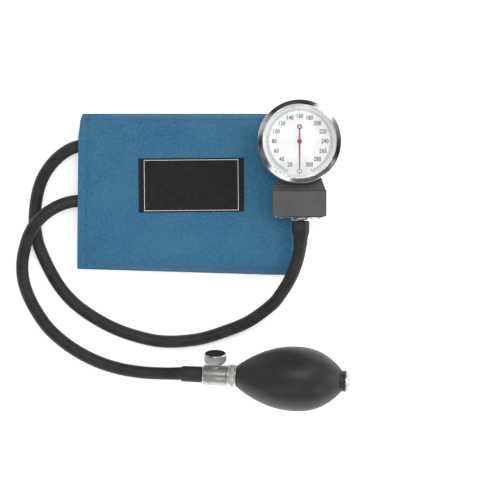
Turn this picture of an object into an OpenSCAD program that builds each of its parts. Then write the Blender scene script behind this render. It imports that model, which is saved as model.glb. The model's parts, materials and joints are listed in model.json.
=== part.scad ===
// Pocket aneroid sphygmomanometer, laid out flat: folded arm cuff, gauge head hooked on its strap,
// two rubber hoses, release valve and squeeze bulb. Millimetres, +Z up, resting on Z = 0.

/* [Cuff] */
// Length of the folded cuff, from the hem to the fold
panel_l = 171; // [160:1:190]
// Width of the cuff at its hem
cuff_w = 119.6; // [112:0.1:130]
// How much wider the cuff lies at the fold than at the hem
cuff_flare = 5; // [0:0.5:8]
// How far the long edge leans away at each end, seen from above
cuff_lean = 4; // [0:0.5:6]
// Thickness of one layer of cuff cloth
cloth_t = 0.8; // [0.5:0.1:1.2]
// Height inside the bladder pocket at its crown
pocket_h = 9.9; // [9.9:0.1:12]
// How far the wide fold bulges past the flat of the panel
fold_bulge = 7.5; // [7:0.5:11]
// Thickness of the hook patch under the cuff
hook_patch_t = 0.8; // [0.5:0.1:1.5]
// Length of the hook patch
hook_patch_l = 96; // [70:1:110]
// Thickness of the loop patch inside the fold
loop_patch_t = 1.4; // [0.8:0.1:2]
// Length of the loop patch
loop_patch_l = 90; // [60:1:120]
// Length of the woven label
label_l = 81; // [60:1:90]
// Width of the woven label
label_w = 41.4; // [30:0.1:50]
// Thickness of the woven label
label_t = 0.5; // [0.3:0.1:1]

/* [Gauge strap and hook] */
// Length of the webbing strap that holds the hook
strap_l = 36; // [34:1:40]
// Width of the strap
strap_w = 12; // [10:1:16]
// Thickness of the strap
strap_t = 1.2; // [0.8:0.1:1.6]
// Width of the spring hook
hook_w = 20; // [14:1:20]
// Thickness of the spring steel of the hook
hook_t = 0.9; // [0.6:0.1:1.2]
// Length of the hook's tongue
hook_l = 25; // [22:1:28]

/* [Gauge] */
// Outer diameter of the bezel
bezel_d = 64.6; // [64:0.2:68]
// Width of the bezel's face ring
bezel_ring = 4.3; // [3.5:0.1:5]
// Outer diameter of the case
case_d = 60.4; // [60:0.1:60.6]
// Height of the case, from its back to its rim
case_h = 24; // [24:0.5:28]
// Thickness of the case floor
floor_t = 3.6; // [3:0.1:4]
// Thickness of the case wall
wall_t = 4.7; // [3:0.1:5]
// Width of the neck block
block_w = 41.4; // [36:0.2:44]
// Thickness of the neck block
block_t = 19; // [18.5:0.1:21]
// Distance from the dial's centre to the end of the neck block
block_reach = 57.6; // [52:0.2:62]
// Thickness of the crystal
crystal_t = 2.2; // [1.6:0.1:3]
// Thickness of the dial plate
dial_t = 0.6; // [0.4:0.1:1]
// Diameter of the diaphragm capsule
capsule_d = 34; // [28:0.5:34]
// Lift of the capsule at full scale
capsule_lift = 1.65; // [1:0.05:2]
// Length of the pointer, from its axis to its tip
pointer_l = 21.9; // [18:0.1:23]
// Diameter of the collar round the gauge end of the hose
collar_d = 18.4; // [16:0.1:18.4]

/* [Movement] */
// Gear module
gear_m = 0.35; // [0.3:0.01:0.36]
// Teeth on the pinion
pinion_teeth = 8; // [8:1:8]
// Teeth that the whole sector circle would have
sector_teeth = 80; // [80:1:80]
// Angle that the sector turns from zero to full scale
sector_turn = 33.75; // [30:0.25:36]
// Thickness of the gears
gear_t = 0.6; // [0.4:0.1:0.7]

/* [Valve and bulb] */
// Diameter of the valve body
valve_d = 15.9; // [15:0.1:17]
// Length of the valve body
valve_l = 19.5; // [18:0.5:22]
// Diameter of the valve collar
valve_collar_d = 17.9; // [17.4:0.1:19]
// Length of the valve collar
valve_collar_l = 7.3; // [7:0.1:9]
// Diameter of the release knob
knob_d = 17.5; // [14:0.1:20]
// Height of the release knob
knob_h = 8.7; // [6:0.1:10]
// Diameter of the needle's screw
needle_d = 4; // [3.4:0.1:4.4]
// Greatest diameter of the bulb
bulb_d = 49.8; // [46:0.2:56]
// Length of the bulb
bulb_l = 84.9; // [82:0.1:92]
// Wall thickness of the bulb
bulb_wall = 2.6; // [2:0.1:3.2]
// Diameter of the bulb's neck at the valve
bulb_neck_d = 17; // [16:0.1:17.2]
// Diameter of the bulb's tail
bulb_tail_d = 15.4; // [15:0.1:17]
// How far a check disc lifts
disc_lift = 1.2; // [0.8:0.1:1.4]

/* [Hoses] */
// Outer diameter of the hoses
hose_d = 9.5; // [9:0.1:9.5]
// Diameter of the gauge hose where it is stretched over its nipple
gauge_hose_end_d = 13.4; // [12:0.1:14]
// Diameter of the bulb hose where it is stretched over its nipple
bulb_hose_end_d = 12.8; // [12:0.1:14]

/* [Hidden] */
$fn = 64;

nylon = [0.24, 0.46, 0.6];
rubber = [0.22, 0.22, 0.23];
dark = [0.1, 0.1, 0.11];
plastic = [0.36, 0.36, 0.37];
chrome = [0.8, 0.81, 0.83];
nickel = [0.72, 0.69, 0.64];
brass = [0.8, 0.66, 0.36];
steel = [0.6, 0.61, 0.63];
crimson = [0.6, 0.1, 0.25];
ivory = [0.96, 0.96, 0.95];

// Clearances
layer_gap = 0.1;
fold_gap = 0.4;
patch_gap = 0.3;
seat_gap = 0.05;
run_gap = 0.05;

// Levels of the folded cuff, from the table up
bottom_z = hook_patch_t;
bottom_top_z = bottom_z + 2 * cloth_t + layer_gap;
middle_z = bottom_top_z + loop_patch_t + 2 * patch_gap;
middle_top_z = middle_z + 2 * cloth_t + layer_gap;
pocket_z = middle_top_z + fold_gap + cloth_t;
edge_z = pocket_z + layer_gap + cloth_t;
crown_z = pocket_z + pocket_h + cloth_t;

// Plan of the cuff
hem_x = -105;
cuff_top_y = 109.1;
hem_inset = 1.2;
left_fold_inset = 1.5;
free_end_inset = 7;
cuff_mid_y = cuff_top_y - cuff_w / 2;
across = [-1, -0.97, -0.9, -0.8, -0.6, -0.3, 0, 0.3, 0.6, 0.8, 0.9, 0.97, 1];

// Place of a point of the folded cuff: s runs from the hem (0) to the fold (1), v across from -1 to 1.
function hem_at(v) = hem_x + hem_inset * (1 + v) / 2;
function fold_at(v) = hem_x + panel_l - cuff_lean * (1 - v) / 2;
function width_at(s) = cuff_w + cuff_flare * s;
function plan_x(s, v) = hem_at(v) + (fold_at(v) - hem_at(v)) * s;
function plan_y(s, v) = cuff_top_y - (1 - v) / 2 * width_at(s);
function s_of(distance) = distance / panel_l;

// Crown of the bladder pocket across the cuff, full from the mouth's tubes to the fold
function smooth(t) = let (k = min(1, max(0, t))) k * k * (3 - 2 * k);
function crown_shape(v) = 1 - pow(abs(v), 12);
function mouth_shape(v) = smooth((v + 1) / 0.7) * smooth((1 - v) / 0.24);
function rise(s, v) = let (k = smooth(s / s_of(40))) crown_shape(v) * k + mouth_shape(v) * (1 - k);
function top_z(s, v) = edge_z + (crown_z - edge_z) * rise(s, v);

// Lists of points: shifted up, and in reverse order
function lifted(points, dz) = [for (p = points) [p.x, p.y + dz]];
function turned(points) = [for (k = [len(points) - 1 : -1 : 0]) points[k]];
// Closed shell between two grids of points, each a list of rows
function flat(list) = [for (row = list) for (p = row) p];
function quad(a, b, c, d) = [[a, b, c], [a, c, d]];
module shell(upper, lower) {
    rows = len(upper);
    cols = len(upper[0]);
    size = rows * cols;
    function id(i, j) = i * cols + j;
    faces = flat(concat(
        [for (i = [0 : rows - 2]) for (j = [0 : cols - 2])
            quad(id(i, j), id(i, j + 1), id(i + 1, j + 1), id(i + 1, j))],
        [for (i = [0 : rows - 2]) for (j = [0 : cols - 2])
            quad(size + id(i, j), size + id(i + 1, j), size + id(i + 1, j + 1), size + id(i, j + 1))],
        [for (i = [0 : rows - 2])
            quad(id(i, 0), id(i + 1, 0), size + id(i + 1, 0), size + id(i, 0))],
        [for (i = [0 : rows - 2])
            quad(id(i + 1, cols - 1), id(i, cols - 1), size + id(i, cols - 1), size + id(i + 1, cols - 1))],
        [for (j = [0 : cols - 2])
            quad(id(0, j + 1), id(0, j), size + id(0, j), size + id(0, j + 1))],
        [for (j = [0 : cols - 2])
            quad(id(rows - 1, j), id(rows - 1, j + 1), size + id(rows - 1, j + 1), size + id(rows - 1, j))]
    ));
    polyhedron(points = flat(concat(upper, lower)), faces = faces);
}

// One face of the outer cloth, depth millimetres under its outside, all along the fold
fold_steps = 6;
function outer_face(depth) = concat(
    [for (s = [0, 0.03, 0.08, 0.15, 0.24, 0.4, 0.6, 0.8, 1 - s_of(fold_bulge) - 0.06])
        [for (v = across) [plan_x(s, v), plan_y(s, v), top_z(s, v) - depth]]],
    [for (k = [0 : fold_steps]) let (a = 90 - 180 * k / fold_steps)
        [for (v = across) let (
            s = 1 - s_of(fold_bulge) + s_of(fold_bulge - depth) * cos(a),
            high = top_z(1, v),
            mid = (high + middle_z) / 2)
            [plan_x(s, v), plan_y(s, v), mid + ((high - middle_z) / 2 - depth) * sin(a)]]],
    [for (s = [0.7, 0.4, 0.15])
        [for (v = across) [plan_x(s, v), plan_y(s, v), middle_z + depth]]],
    left_fold((middle_z - bottom_top_z) / 2 + depth),
    [for (s = [0.15, 0.4, 0.7, 1 - s_of(free_end_inset)])
        [for (v = across) [plan_x(s, v), plan_y(s, v), bottom_top_z - depth]]]
);
// The fold at the hem's side that the middle and bottom panels share
left_fold_r = (middle_z - bottom_top_z) / 2 + 2 * cloth_t + layer_gap;
function left_fold(r) = [for (k = [0 : fold_steps]) let (a = 90 + 180 * k / fold_steps)
    [for (v = across) let (s = s_of(left_fold_inset + left_fold_r + r * cos(a)))
        [plan_x(s, v), plan_y(s, v), (middle_z + bottom_top_z) / 2 + r * sin(a)]]];
// One face of the inner cloth, depth millimetres under the face that looks at the outer cloth
inner_fold_s = 1 - s_of(fold_bulge + 0.5 + fold_gap / 2 + cloth_t);
function inner_face(depth) = let (
    fold_mid = pocket_z - cloth_t - fold_gap / 2,
    fold_r = fold_gap / 2 + cloth_t - depth) concat(
    [for (s = [0.008, 0.15, 0.4, 0.7])
        [for (v = across) [plan_x(s, v), plan_y(s, v), pocket_z - depth]]],
    [for (k = [0 : fold_steps]) let (a = 90 - 180 * k / fold_steps, s = inner_fold_s + s_of(fold_r) * cos(a))
        [for (v = across) [plan_x(s, v), plan_y(s, v), fold_mid + fold_r * sin(a)]]],
    [for (s = [0.7, 0.4, 0.15])
        [for (v = across) [plan_x(s, v), plan_y(s, v), middle_z + cloth_t + layer_gap + depth]]],
    left_fold((middle_z - bottom_top_z) / 2 + cloth_t + layer_gap + depth),
    [for (s = [0.15, 0.4, 0.7, 1 - s_of(free_end_inset)])
        [for (v = across) [plan_x(s, v), plan_y(s, v), bottom_top_z - cloth_t - layer_gap - depth]]]
);
module outer_cloth() {
    color(nylon) shell(outer_face(0), outer_face(cloth_t));
}
module inner_cloth() {
    color(nylon) shell(inner_face(0), inner_face(cloth_t));
}

// Rubber bladder: a flat-ended cushion in the pocket of the top panel
bladder_start = 12;
bladder_end = 22;
bladder_edge = 11;
bladder_gap = 0.5;
bladder_across = [-1, -0.9, -0.7, -0.4, 0, 0.4, 0.7, 0.9, 1];
module bladder() {
    x0 = hem_x + bladder_start;
    x1 = hem_x + panel_l - cuff_lean - bladder_end;
    span = cuff_w / 2 - bladder_edge;
    low = pocket_z + layer_gap / 2;
    function v_at(y) = 1 - 2 * (cuff_top_y - y) / cuff_w;
    function roof(x, y) = top_z((x - hem_x) / panel_l, v_at(y)) - cloth_t - bladder_gap;
    grid = [for (k = [0, 0.08, 0.2, 0.4, 0.6, 0.8, 0.95, 1]) [for (v = bladder_across) let (
        x = x0 + (x1 - x0) * k, y = cuff_mid_y + span * v) [x, y, roof(x, y)]]];
    color(dark) shell(grid, [for (row = grid) [for (p = row) [p.x, p.y, low]]]);
}

module rounded_plate(size, r, t) {
    linear_extrude(t) difference() {
        square(size, center = true);
        for (i = [-1, 1], j = [-1, 1]) translate([i * size.x / 2, j * size.y / 2]) difference() {
            square(2 * r, center = true);
            translate([-i * r, -j * r]) circle(r);
        }
    }
}
patch_margin = 10;
patch_corner = 6;
patch_w = cuff_w - 2 * patch_margin;
module loop_patch() {
    color(dark) translate([hem_x + panel_l / 2, cuff_mid_y - cuff_flare / 4, bottom_top_z + patch_gap])
        rounded_plate([loop_patch_l, patch_w], patch_corner, loop_patch_t);
}
module hook_patch() {
    color(dark) translate([hem_x + panel_l - cuff_lean - free_end_inset - 2 - hook_patch_l / 2,
        cuff_mid_y - cuff_flare / 4, 0])
        rounded_plate([hook_patch_l, patch_w], patch_corner, hook_patch_t - seat_gap);
}
label_x = -17;
label_y = 54;
module woven_label() {
    color(dark) translate([label_x, label_y, crown_z + seat_gap]) rotate([0, 0, 0.5])
        translate([-label_l / 2, -label_w / 2, 0]) cube([label_l, label_w, label_t]);
}

// Gauge head: its own origin is on the dial's axis, at the back of the case
gauge_past_fold = 0.3;
gauge_x = hem_x + panel_l + gauge_past_fold;
gauge_y = 87.6;

// Gauge strap, sewn down at both ends, with the hook's tongue under it
strap_behind = 14.8;
strap_x = gauge_x - strap_behind;
strap_y = gauge_y - 7.6;
strap_foot = 6;
strap_step = 1.5;
tongue_gap = 0.15;
tongue_z = crown_z + tongue_gap;
strap_rise = hook_t + 2 * tongue_gap;
function cloth_z(y) = top_z(s_of(strap_x - hem_x), 1 - 2 * (cuff_top_y - y) / cuff_w) + seat_gap;
module gauge_strap() {
    side = strap_l / 2;
    foot = side - strap_foot;
    flat = foot - strap_step;
    low = crown_z + strap_rise;
    under = [
        [-side, cloth_z(strap_y - side)], [-foot, cloth_z(strap_y - foot)], [-flat, low],
        [flat, low], [foot, cloth_z(strap_y + foot)], [side, cloth_z(strap_y + side)]
    ];
    color(dark) translate([strap_x - strap_w / 2, strap_y, 0]) rotate([90, 0, 90])
        linear_extrude(strap_w) polygon(concat(under, turned(lifted(under, strap_t))));
}

hook_space = strap_t + 3 * tongue_gap;
gauge_z = tongue_z + 2 * hook_t + hook_space;
module at_gauge() {
    translate([gauge_x, gauge_y, gauge_z]) children();
}
rivet_x = -16;
rivet_d = 3;
module gauge_hook() {
    half = hook_space / 2;
    bend_r = half + hook_t;
    color(steel) translate([gauge_x, strap_y + hook_w / 2, gauge_z - bend_r]) rotate([90, 0, 0]) difference() {
        linear_extrude(hook_w) {
            for (low = [half, -bend_r]) translate([-hook_l, low]) square([hook_l, hook_t]);
            difference() {
                circle(bend_r);
                circle(half);
                translate([-2 * bend_r, -2 * bend_r]) square([2 * bend_r, 4 * bend_r]);
            }
        }
        for (k = [0.25, 0.75]) translate([rivet_x, half + hook_t / 2, k * hook_w]) rotate([90, 0, 0])
            cylinder(d = rivet_d + 2 * seat_gap, h = 2 * hook_t, center = true);
    }
}
rivet_head_t = 0.6;
module at_rivets() {
    for (k = [-0.25, 0.25]) translate([rivet_x, strap_y - gauge_y + k * hook_w, 0]) children();
}
module hook_rivets() {
    color(steel) at_gauge() at_rivets() {
        translate([0, 0, -hook_t]) cylinder(d = rivet_d, h = hook_t + floor_t + rivet_head_t);
        translate([0, 0, floor_t]) cylinder(d = 1.6 * rivet_d, h = rivet_head_t);
    }
}

// Case: round drum with a rebate for the dial, and the neck block with its air passage
case_r = case_d / 2;
cavity_r = case_r - wall_t;
rebate_r = case_r - 1.3;
rebate_z = case_h - 3;
nipple_z = block_t / 2;
nipple_x = 0.9;
thread_d = 8;
thread_l = 10;
air_d = 1.6;
air_z = floor_t / 2;
stem_d = 4.8;
// Neck block: half its outline seen from above, and its outline seen from the side
block_root = 20;
shoulder_w = block_w / 2 - 4.1;
shoulder_y = block_reach - 20.5;
shoulder_in = 9.2;
block_corner = 2;
block_edge = 1.2;
block_half = [
    [shoulder_w, block_root], [shoulder_w, shoulder_y - shoulder_in], [block_w / 2 - 0.6, shoulder_y],
    [block_w / 2, shoulder_y + 1], [block_w / 2, block_reach - block_corner],
    [block_w / 2 - block_corner, block_reach]
];
module block_plan() {
    polygon(concat([for (p = block_half) [p.x, -p.y]], [for (p = turned(block_half)) [-p.x, -p.y]]));
}
module block_side() {
    polygon([
        [block_root, 0], [block_reach - block_edge, 0], [block_reach, block_edge],
        [block_reach, block_t - block_edge], [block_reach - block_edge, block_t], [shoulder_y, block_t],
        [shoulder_y - shoulder_in, block_t - 7], [block_root, block_t - 8]
    ]);
}
screw_d = 1.6;
boss_d = 6;
boss_h = 0.6;
post_r = cavity_r - 6;
base_screw_angles = [30, 150, 270];
pillar_angles = [90, 210, 330];
module around(angles, r) {
    for (a = angles) rotate([0, 0, a]) translate([r, 0, 0]) children();
}
plate_screw_x = 15;
module at_plate_screws() {
    for (i = [-1, 1]) translate([i * plate_screw_x, -block_reach, nipple_z]) rotate([90, 0, 0]) children();
}
plate_screw_l = 6;
module gauge_case() {
    color(plastic) at_gauge() difference() {
        union() {
            difference() {
                union() {
                    cylinder(r = case_r, h = case_h);
                    intersection() {
                        linear_extrude(block_t) block_plan();
                        translate([-block_w, 0, 0]) rotate([90, 0, 90]) linear_extrude(2 * block_w)
                            mirror([1, 0]) block_side();
                    }
                }
                translate([0, 0, floor_t]) cylinder(r = cavity_r, h = case_h);
                translate([0, 0, rebate_z]) cylinder(r = rebate_r, h = case_h);
            }
            translate([0, 0, floor_t - 0.5]) around(base_screw_angles, post_r)
                cylinder(d = boss_d, h = boss_h + 0.5);
        }
        translate([0, 0, 1]) around(base_screw_angles, post_r) cylinder(d = screw_d, h = case_h);
        at_rivets() translate([0, 0, -1]) cylinder(d = rivet_d + 2 * seat_gap, h = floor_t + 2);
        translate([nipple_x, -block_reach - 1, nipple_z]) rotate([-90, 0, 0]) cylinder(d = thread_d, h = thread_l + 1);
        translate([nipple_x, -block_reach + thread_l + 2, nipple_z]) rotate([90, 0, 0]) cylinder(d = air_d, h = 4);
        translate([nipple_x, -block_reach + thread_l + 1.5, air_z - air_d / 2])
            cylinder(d = air_d, h = nipple_z - air_z + air_d / 2);
        translate([nipple_x, -block_reach + thread_l, air_z]) rotate([-90, 0, 0])
            cylinder(d = air_d, h = block_reach - thread_l + air_d / 2);
        translate([0, 0, air_z]) cylinder(d = air_d, h = floor_t);
        at_plate_screws() mirror([0, 0, 1]) translate([0, 0, -1]) cylinder(d = screw_d, h = plate_screw_l + 1);
    }
}

// Bezel, crystal, gasket, dial ring and dial
gasket_t = 1;
gasket_w = 1.2;
crystal_z = case_h + gasket_t;
crystal_r = case_r - 0.1;
dial_z = rebate_z;
dial_r = rebate_r - 0.2;
bezel_r = bezel_d / 2;
window_r = bezel_r - bezel_ring;
skirt_l = 9;
skirt_z = case_h - skirt_l;
skirt_edge = 0.6;
lip_z = crystal_z + crystal_t + seat_gap;
lip_t = 0.7;
bezel_crest = 3.2;
arc_steps = 16;
module gauge_bezel() {
    mid = (bezel_r + window_r) / 2;
    half = bezel_ring / 2;
    color(chrome) at_gauge() rotate_extrude($fn = 96) polygon(concat(
        [[case_r + run_gap, skirt_z], [case_r + run_gap, lip_z], [window_r, lip_z]],
        [for (k = [0 : arc_steps]) let (a = 180 - 180 * k / arc_steps)
            [mid + half * cos(a), lip_z + lip_t + bezel_crest * sin(a)]],
        [[bezel_r, skirt_z + skirt_edge], [bezel_r - skirt_edge, skirt_z]]
    ));
}
module gauge_crystal() {
    color([0.85, 0.9, 0.92, 0.3]) at_gauge() translate([0, 0, crystal_z])
        rotate_extrude($fn = 96) polygon([
            [0, 0], [crystal_r, 0], [crystal_r, crystal_t - 0.3], [crystal_r - 0.3, crystal_t], [0, crystal_t]
        ]);
}
module crystal_gasket() {
    color(dark) at_gauge() translate([0, 0, case_h]) difference() {
        cylinder(r = crystal_r, h = gasket_t);
        translate([0, 0, -1]) cylinder(r = crystal_r - gasket_w, h = gasket_t + 2);
    }
}
ring_slope = 1.8;
ring_lip = 0.4;
module dial_ring() {
    low = dial_z + dial_t;
    dial_face_r = window_r - ring_slope;
    color(ivory) at_gauge() rotate_extrude($fn = 96) polygon([
        [dial_face_r, low], [dial_r, low], [dial_r, crystal_z - seat_gap],
        [window_r + 0.2, crystal_z - seat_gap], [dial_face_r, low + ring_lip]
    ]);
}
arbor_d = 1.2;
module dial_plate() {
    color(ivory) at_gauge() translate([0, 0, dial_z]) difference() {
        cylinder(r = dial_r, h = dial_t);
        translate([0, 0, -1]) cylinder(d = 3, h = dial_t + 2);
    }
}

// Levels of the movement above the case's back
base_z = floor_t + boss_h;
base_t = 1.2;
base_top = base_z + base_t;
shaft_below_dial = 7.4;
shaft_z = rebate_z - shaft_below_dial;
shaft_y = 4.5;
rocker_turn = 21.2;
arm_t = 0.8;
arm_tip_z = shaft_z - shaft_y * sin(rocker_turn / 2) - arm_t;
pad_t = 0.4;
pin_h = 0.87;
pin_gap = 0.1;
capsule_gap = 0.8;
capsule_wall = 0.35;
capsule_z = base_top + capsule_gap;
capsule_top = arm_tip_z - pin_h;
capsule_t = capsule_top - capsule_z;
capsule_mid = (capsule_z + capsule_top) / 2;
shaft_d = 1.6;
bridge_t = 1;
bridge_z = shaft_z + 1.8;
bridge_top = bridge_z + bridge_t;
gear_z = bridge_top + 0.8;
cock_t = 0.8;
cock_z = rebate_z - 1.6;
spring_z = gear_z + gear_t + 0.6;
base_r = post_r + 2.7;

module movement_base() {
    color(brass) at_gauge() translate([0, 0, base_z]) difference() {
        cylinder(r = base_r, h = base_t);
        translate([0, 0, -1]) cylinder(d = stem_d + 2 * seat_gap, h = base_t + 2);
        translate([0, 0, -1]) around(base_screw_angles, post_r) cylinder(d = screw_d + 0.2, h = base_t + 2);
        at_rivets() translate([0, 0, -1]) cylinder(d = 1.8 * rivet_d, h = 1 + rivet_head_t);
    }
}
module screw(length, head_d, head_t) {
    translate([0, 0, -length]) cylinder(d = screw_d - 0.02, h = length + 0.01);
    difference() {
        cylinder(d = head_d, h = head_t);
        translate([0, 0, head_t]) cube([head_d + 1, 0.4, head_t], center = true);
    }
}
module base_screws() {
    color(steel) at_gauge() translate([0, 0, base_top]) around(base_screw_angles, post_r)
        screw(base_top - 1.2, 3.4, 1.1);
}
pillar_d = 3.4;
bridge_screw_l = 6;
module movement_pillars() {
    color(brass) at_gauge() translate([0, 0, base_top]) around(pillar_angles, post_r) difference() {
        cylinder(d = pillar_d, h = bridge_z - base_top);
        translate([0, 0, bridge_top - base_top - bridge_screw_l - pin_gap]) cylinder(d = screw_d, h = bridge_z);
    }
}
module bridge_screws() {
    color(steel) at_gauge() translate([0, 0, bridge_top]) around(pillar_angles, post_r)
        screw(bridge_screw_l, 3, 0.7);
}

// Gears: the sector's pivot lies on a line that leans from the pinion at the dial's centre
gear_lean = -17;
pinion_r = gear_m * pinion_teeth / 2;
sector_r = gear_m * sector_teeth / 2;
gear_reach = pinion_r + sector_r;
addendum = 0.9 * gear_m;
dedendum = 1.25 * gear_m;
module at_gears() {
    at_gauge() rotate([0, 0, gear_lean]) children();
}
module at_sector() {
    at_gears() translate([-gear_reach, 0, 0]) children();
}
// Outline of one tooth on a gear of pitch radius r, as half widths at root, pitch and tip
function tooth(r, at) = let (
    root = r - dedendum, tip = r + addendum,
    w_root = 0.8 * gear_m, w_pitch = 0.62 * gear_m, w_tip = 0.22 * gear_m,
    ends = [[root, -w_root], [r, -w_pitch], [tip, -w_tip], [tip, w_tip], [r, w_pitch], [root, w_root]])
    [for (e = ends) let (a = at + e[1] / e[0] * 180 / PI) e[0] * [cos(a), sin(a)]];
sector_tooth = 360 / sector_teeth;
sector_from = -9;
sector_to = 1;
sector_hub_r = 2.4;
pivot_d = 1.2;
sector_low = sector_from * sector_tooth - sector_tooth / 2;
sector_high = sector_to * sector_tooth + sector_tooth / 2;
push_pin_reach = 2;
push_pin_d = 0.8;
module sector_outline() {
    root = sector_r - dedendum;
    rim = root - 1.6;
    polygon(concat(
        [root * [cos(sector_low), sin(sector_low)]],
        [for (i = [sector_from : sector_to]) each tooth(sector_r, i * sector_tooth)],
        [root * [cos(sector_high), sin(sector_high)]],
        [for (k = [0 : 8]) let (a = sector_high + (sector_low - sector_high) * k / 8) rim * [cos(a), sin(a)]]
    ));
    for (a = [sector_low + 1, sector_high - 1]) rotate([0, 0, a]) translate([0, -0.5]) square([rim + 0.4, 1]);
    circle(sector_hub_r);
}
module sector_gear() {
    color(brass) at_sector() difference() {
        union() {
            translate([0, 0, gear_z]) linear_extrude(gear_t) sector_outline();
            translate([0, 0, bridge_z + 0.1]) cylinder(d = pivot_d, h = cock_z + cock_t - bridge_z - 0.2);
            rotate([0, 0, -gear_lean - sector_turn / 2]) translate([push_pin_reach, 0, gear_z - 0.6])
                cylinder(d = push_pin_d, h = 1);
        }
    }
}
pinion_t = gear_t + 0.5;
hub_d = 3.6;
pointer_z = rebate_z + dial_t + 1.2;
pointer_t = 0.4;
collet_d = 2.4;
module pinion_arbor() {
    step = 360 / pinion_teeth;
    color(steel) at_gears() {
        translate([0, 0, bridge_z + 0.1]) cylinder(d = arbor_d, h = pointer_z + 0.6 - bridge_z);
        translate([0, 0, gear_z - 0.25]) linear_extrude(pinion_t) polygon([
            for (i = [0 : pinion_teeth - 1]) each tooth(pinion_r, (i + 0.5) * step)
        ]);
        translate([0, 0, spring_z]) cylinder(d = collet_d, h = 0.4);
    }
}
bearing_gap = 0.04;
cock_w = 7;
cock_from = -gear_reach - 6;
cock_to = 7.5;
cock_pillar_d = 3;
module at_cock_pillars() {
    for (x = [cock_from, cock_to]) translate([x, 0, 0]) children();
}
module bearings_hole(z, t) {
    for (x = [-gear_reach, 0]) translate([x, 0, z - 1]) cylinder(d = arbor_d + 2 * bearing_gap, h = t + 2);
}
slot_x = -gear_reach * cos(gear_lean) + push_pin_reach;
slot_w = 2;
slot_from = shaft_y - 3.2;
slot_to = shaft_y + 2.2;
module movement_bridge() {
    color(brass) difference() {
        at_gauge() translate([0, 0, bridge_z]) cylinder(r = base_r, h = bridge_t);
        at_gauge() translate([0, 0, bridge_z - 1]) around(pillar_angles, post_r)
            cylinder(d = screw_d + 0.2, h = bridge_t + 2);
        at_gears() bearings_hole(bridge_z, bridge_t);
        at_gears() at_cock_pillars() translate([0, 0, bridge_z - 1]) cylinder(d = screw_d, h = bridge_t + 2);
        at_gauge() translate([slot_x - slot_w / 2, slot_from, bridge_z - 1])
            cube([slot_w, slot_to - slot_from, bridge_t + 2]);
    }
}
module movement_cock() {
    color(brass) at_gears() difference() {
        union() {
            translate([cock_from, -cock_w / 2, cock_z]) cube([cock_to - cock_from, cock_w, cock_t]);
            at_cock_pillars() translate([0, 0, cock_z]) cylinder(d = cock_w, h = cock_t);
            at_cock_pillars() translate([0, 0, bridge_top]) cylinder(d = cock_pillar_d, h = cock_z - bridge_top + 0.1);
            translate([stud_r, 0, spring_z]) cylinder(d = 0.8, h = cock_z - spring_z + 0.1);
        }
        bearings_hole(cock_z, cock_t);
        at_cock_pillars() cylinder(d = screw_d + 0.1, h = cock_z + 2 * cock_t);
    }
}
module cock_screws() {
    color(steel) at_gears() at_cock_pillars() translate([0, 0, cock_z + cock_t])
        screw(cock_t + cock_z - bridge_z, 2.8, 0.5);
}

// Hairspring: a flat spiral from the collet to the stud under the cock
spring_turns = 3;
spring_w = 0.2;
spring_r = collet_d / 2 + run_gap;
stud_r = 5;
spring_end_r = stud_r - 0.4 - spring_w - seat_gap;
function spiral(turn, side) = let (r = spring_r + (spring_end_r - spring_r) * turn / spring_turns + side)
    r * [cos(360 * turn), sin(360 * turn)];
module hairspring() {
    steps = 20 * spring_turns;
    color(steel) at_gears() translate([0, 0, spring_z]) linear_extrude(0.4) polygon(concat(
        [for (k = [0 : steps]) spiral(spring_turns * k / steps, 0)],
        [for (k = [steps : -1 : 0]) spiral(spring_turns * k / steps, spring_w)]
    ));
}

// Rocking shaft: its arm lies on the capsule pin and its finger pushes the sector's pin
finger_gap = 0.1;
shaft_span = post_r;
journal_d = 0.9;
finger_top = gear_z - 0.25;
module rocking_shaft() {
    finger_h = finger_top - shaft_z;
    finger_y = -push_pin_d / 2 - finger_gap - 0.4;
    color(steel) at_gauge() translate([0, shaft_y, shaft_z]) rotate([rocker_turn / 2, 0, 0]) {
        rotate([0, 90, 0]) cylinder(d = shaft_d, h = 2 * shaft_span - 2.4, center = true);
        rotate([0, 90, 0]) cylinder(d = journal_d, h = 2 * shaft_span, center = true);
        translate([-0.6, -shaft_y - 0.8, -arm_t / 2]) cube([1.2, shaft_y + 0.8, arm_t]);
        translate([slot_x - 0.4, finger_y - 0.4, 0]) cube([0.8, 0.8, finger_h]);
        translate([slot_x - 0.4, finger_y - 0.4, -0.4]) cube([0.8, 0.8 - finger_y, 0.8]);
    }
}
module shaft_bearings() {
    foot = [2, 4];
    color(brass) at_gauge() for (i = [-1, 1]) difference() {
        translate([i * shaft_span - foot.x / 2, shaft_y - foot.y / 2, base_top])
            cube([foot.x, foot.y, bridge_z - 0.2 - base_top]);
        translate([i * shaft_span, shaft_y, shaft_z]) rotate([0, 90, 0])
            cylinder(d = journal_d + 2 * bearing_gap, h = 2 * foot.x, center = true);
    }
}

// Capsule: two corrugated shells, joined at the rim, on an inlet stem
function wave(k) = capsule_z + (capsule_t / 2 - capsule_wall) * pow(k, 3) + capsule_wall * sin(900 * k) * (1 - k);
capsule_steps = 24;
function lower_wave() = [for (k = [0 : capsule_steps]) let (u = k / capsule_steps)
    [stem_d / 2 + (capsule_d / 2 - stem_d / 2) * u, wave(u)]];
module capsule_lower() {
    low = lower_wave();
    color(brass) at_gauge() rotate_extrude() polygon(concat(low, turned(lifted(low, capsule_wall))));
}
module capsule_upper() {
    low = concat([for (p = lower_wave()) [p.x, 2 * capsule_mid - p.y]]);
    color(brass) at_gauge() rotate_extrude() polygon(concat(
        [[0, low[0].y]], low, turned(lifted(low, -capsule_wall)), [[0, low[0].y - capsule_wall]]
    ));
}
module capsule_stem() {
    color(brass) at_gauge() translate([0, 0, floor_t]) difference() {
        cylinder(d = stem_d, h = capsule_z + capsule_wall - floor_t);
        translate([0, 0, -1]) cylinder(d = air_d, h = capsule_z);
    }
}
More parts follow.
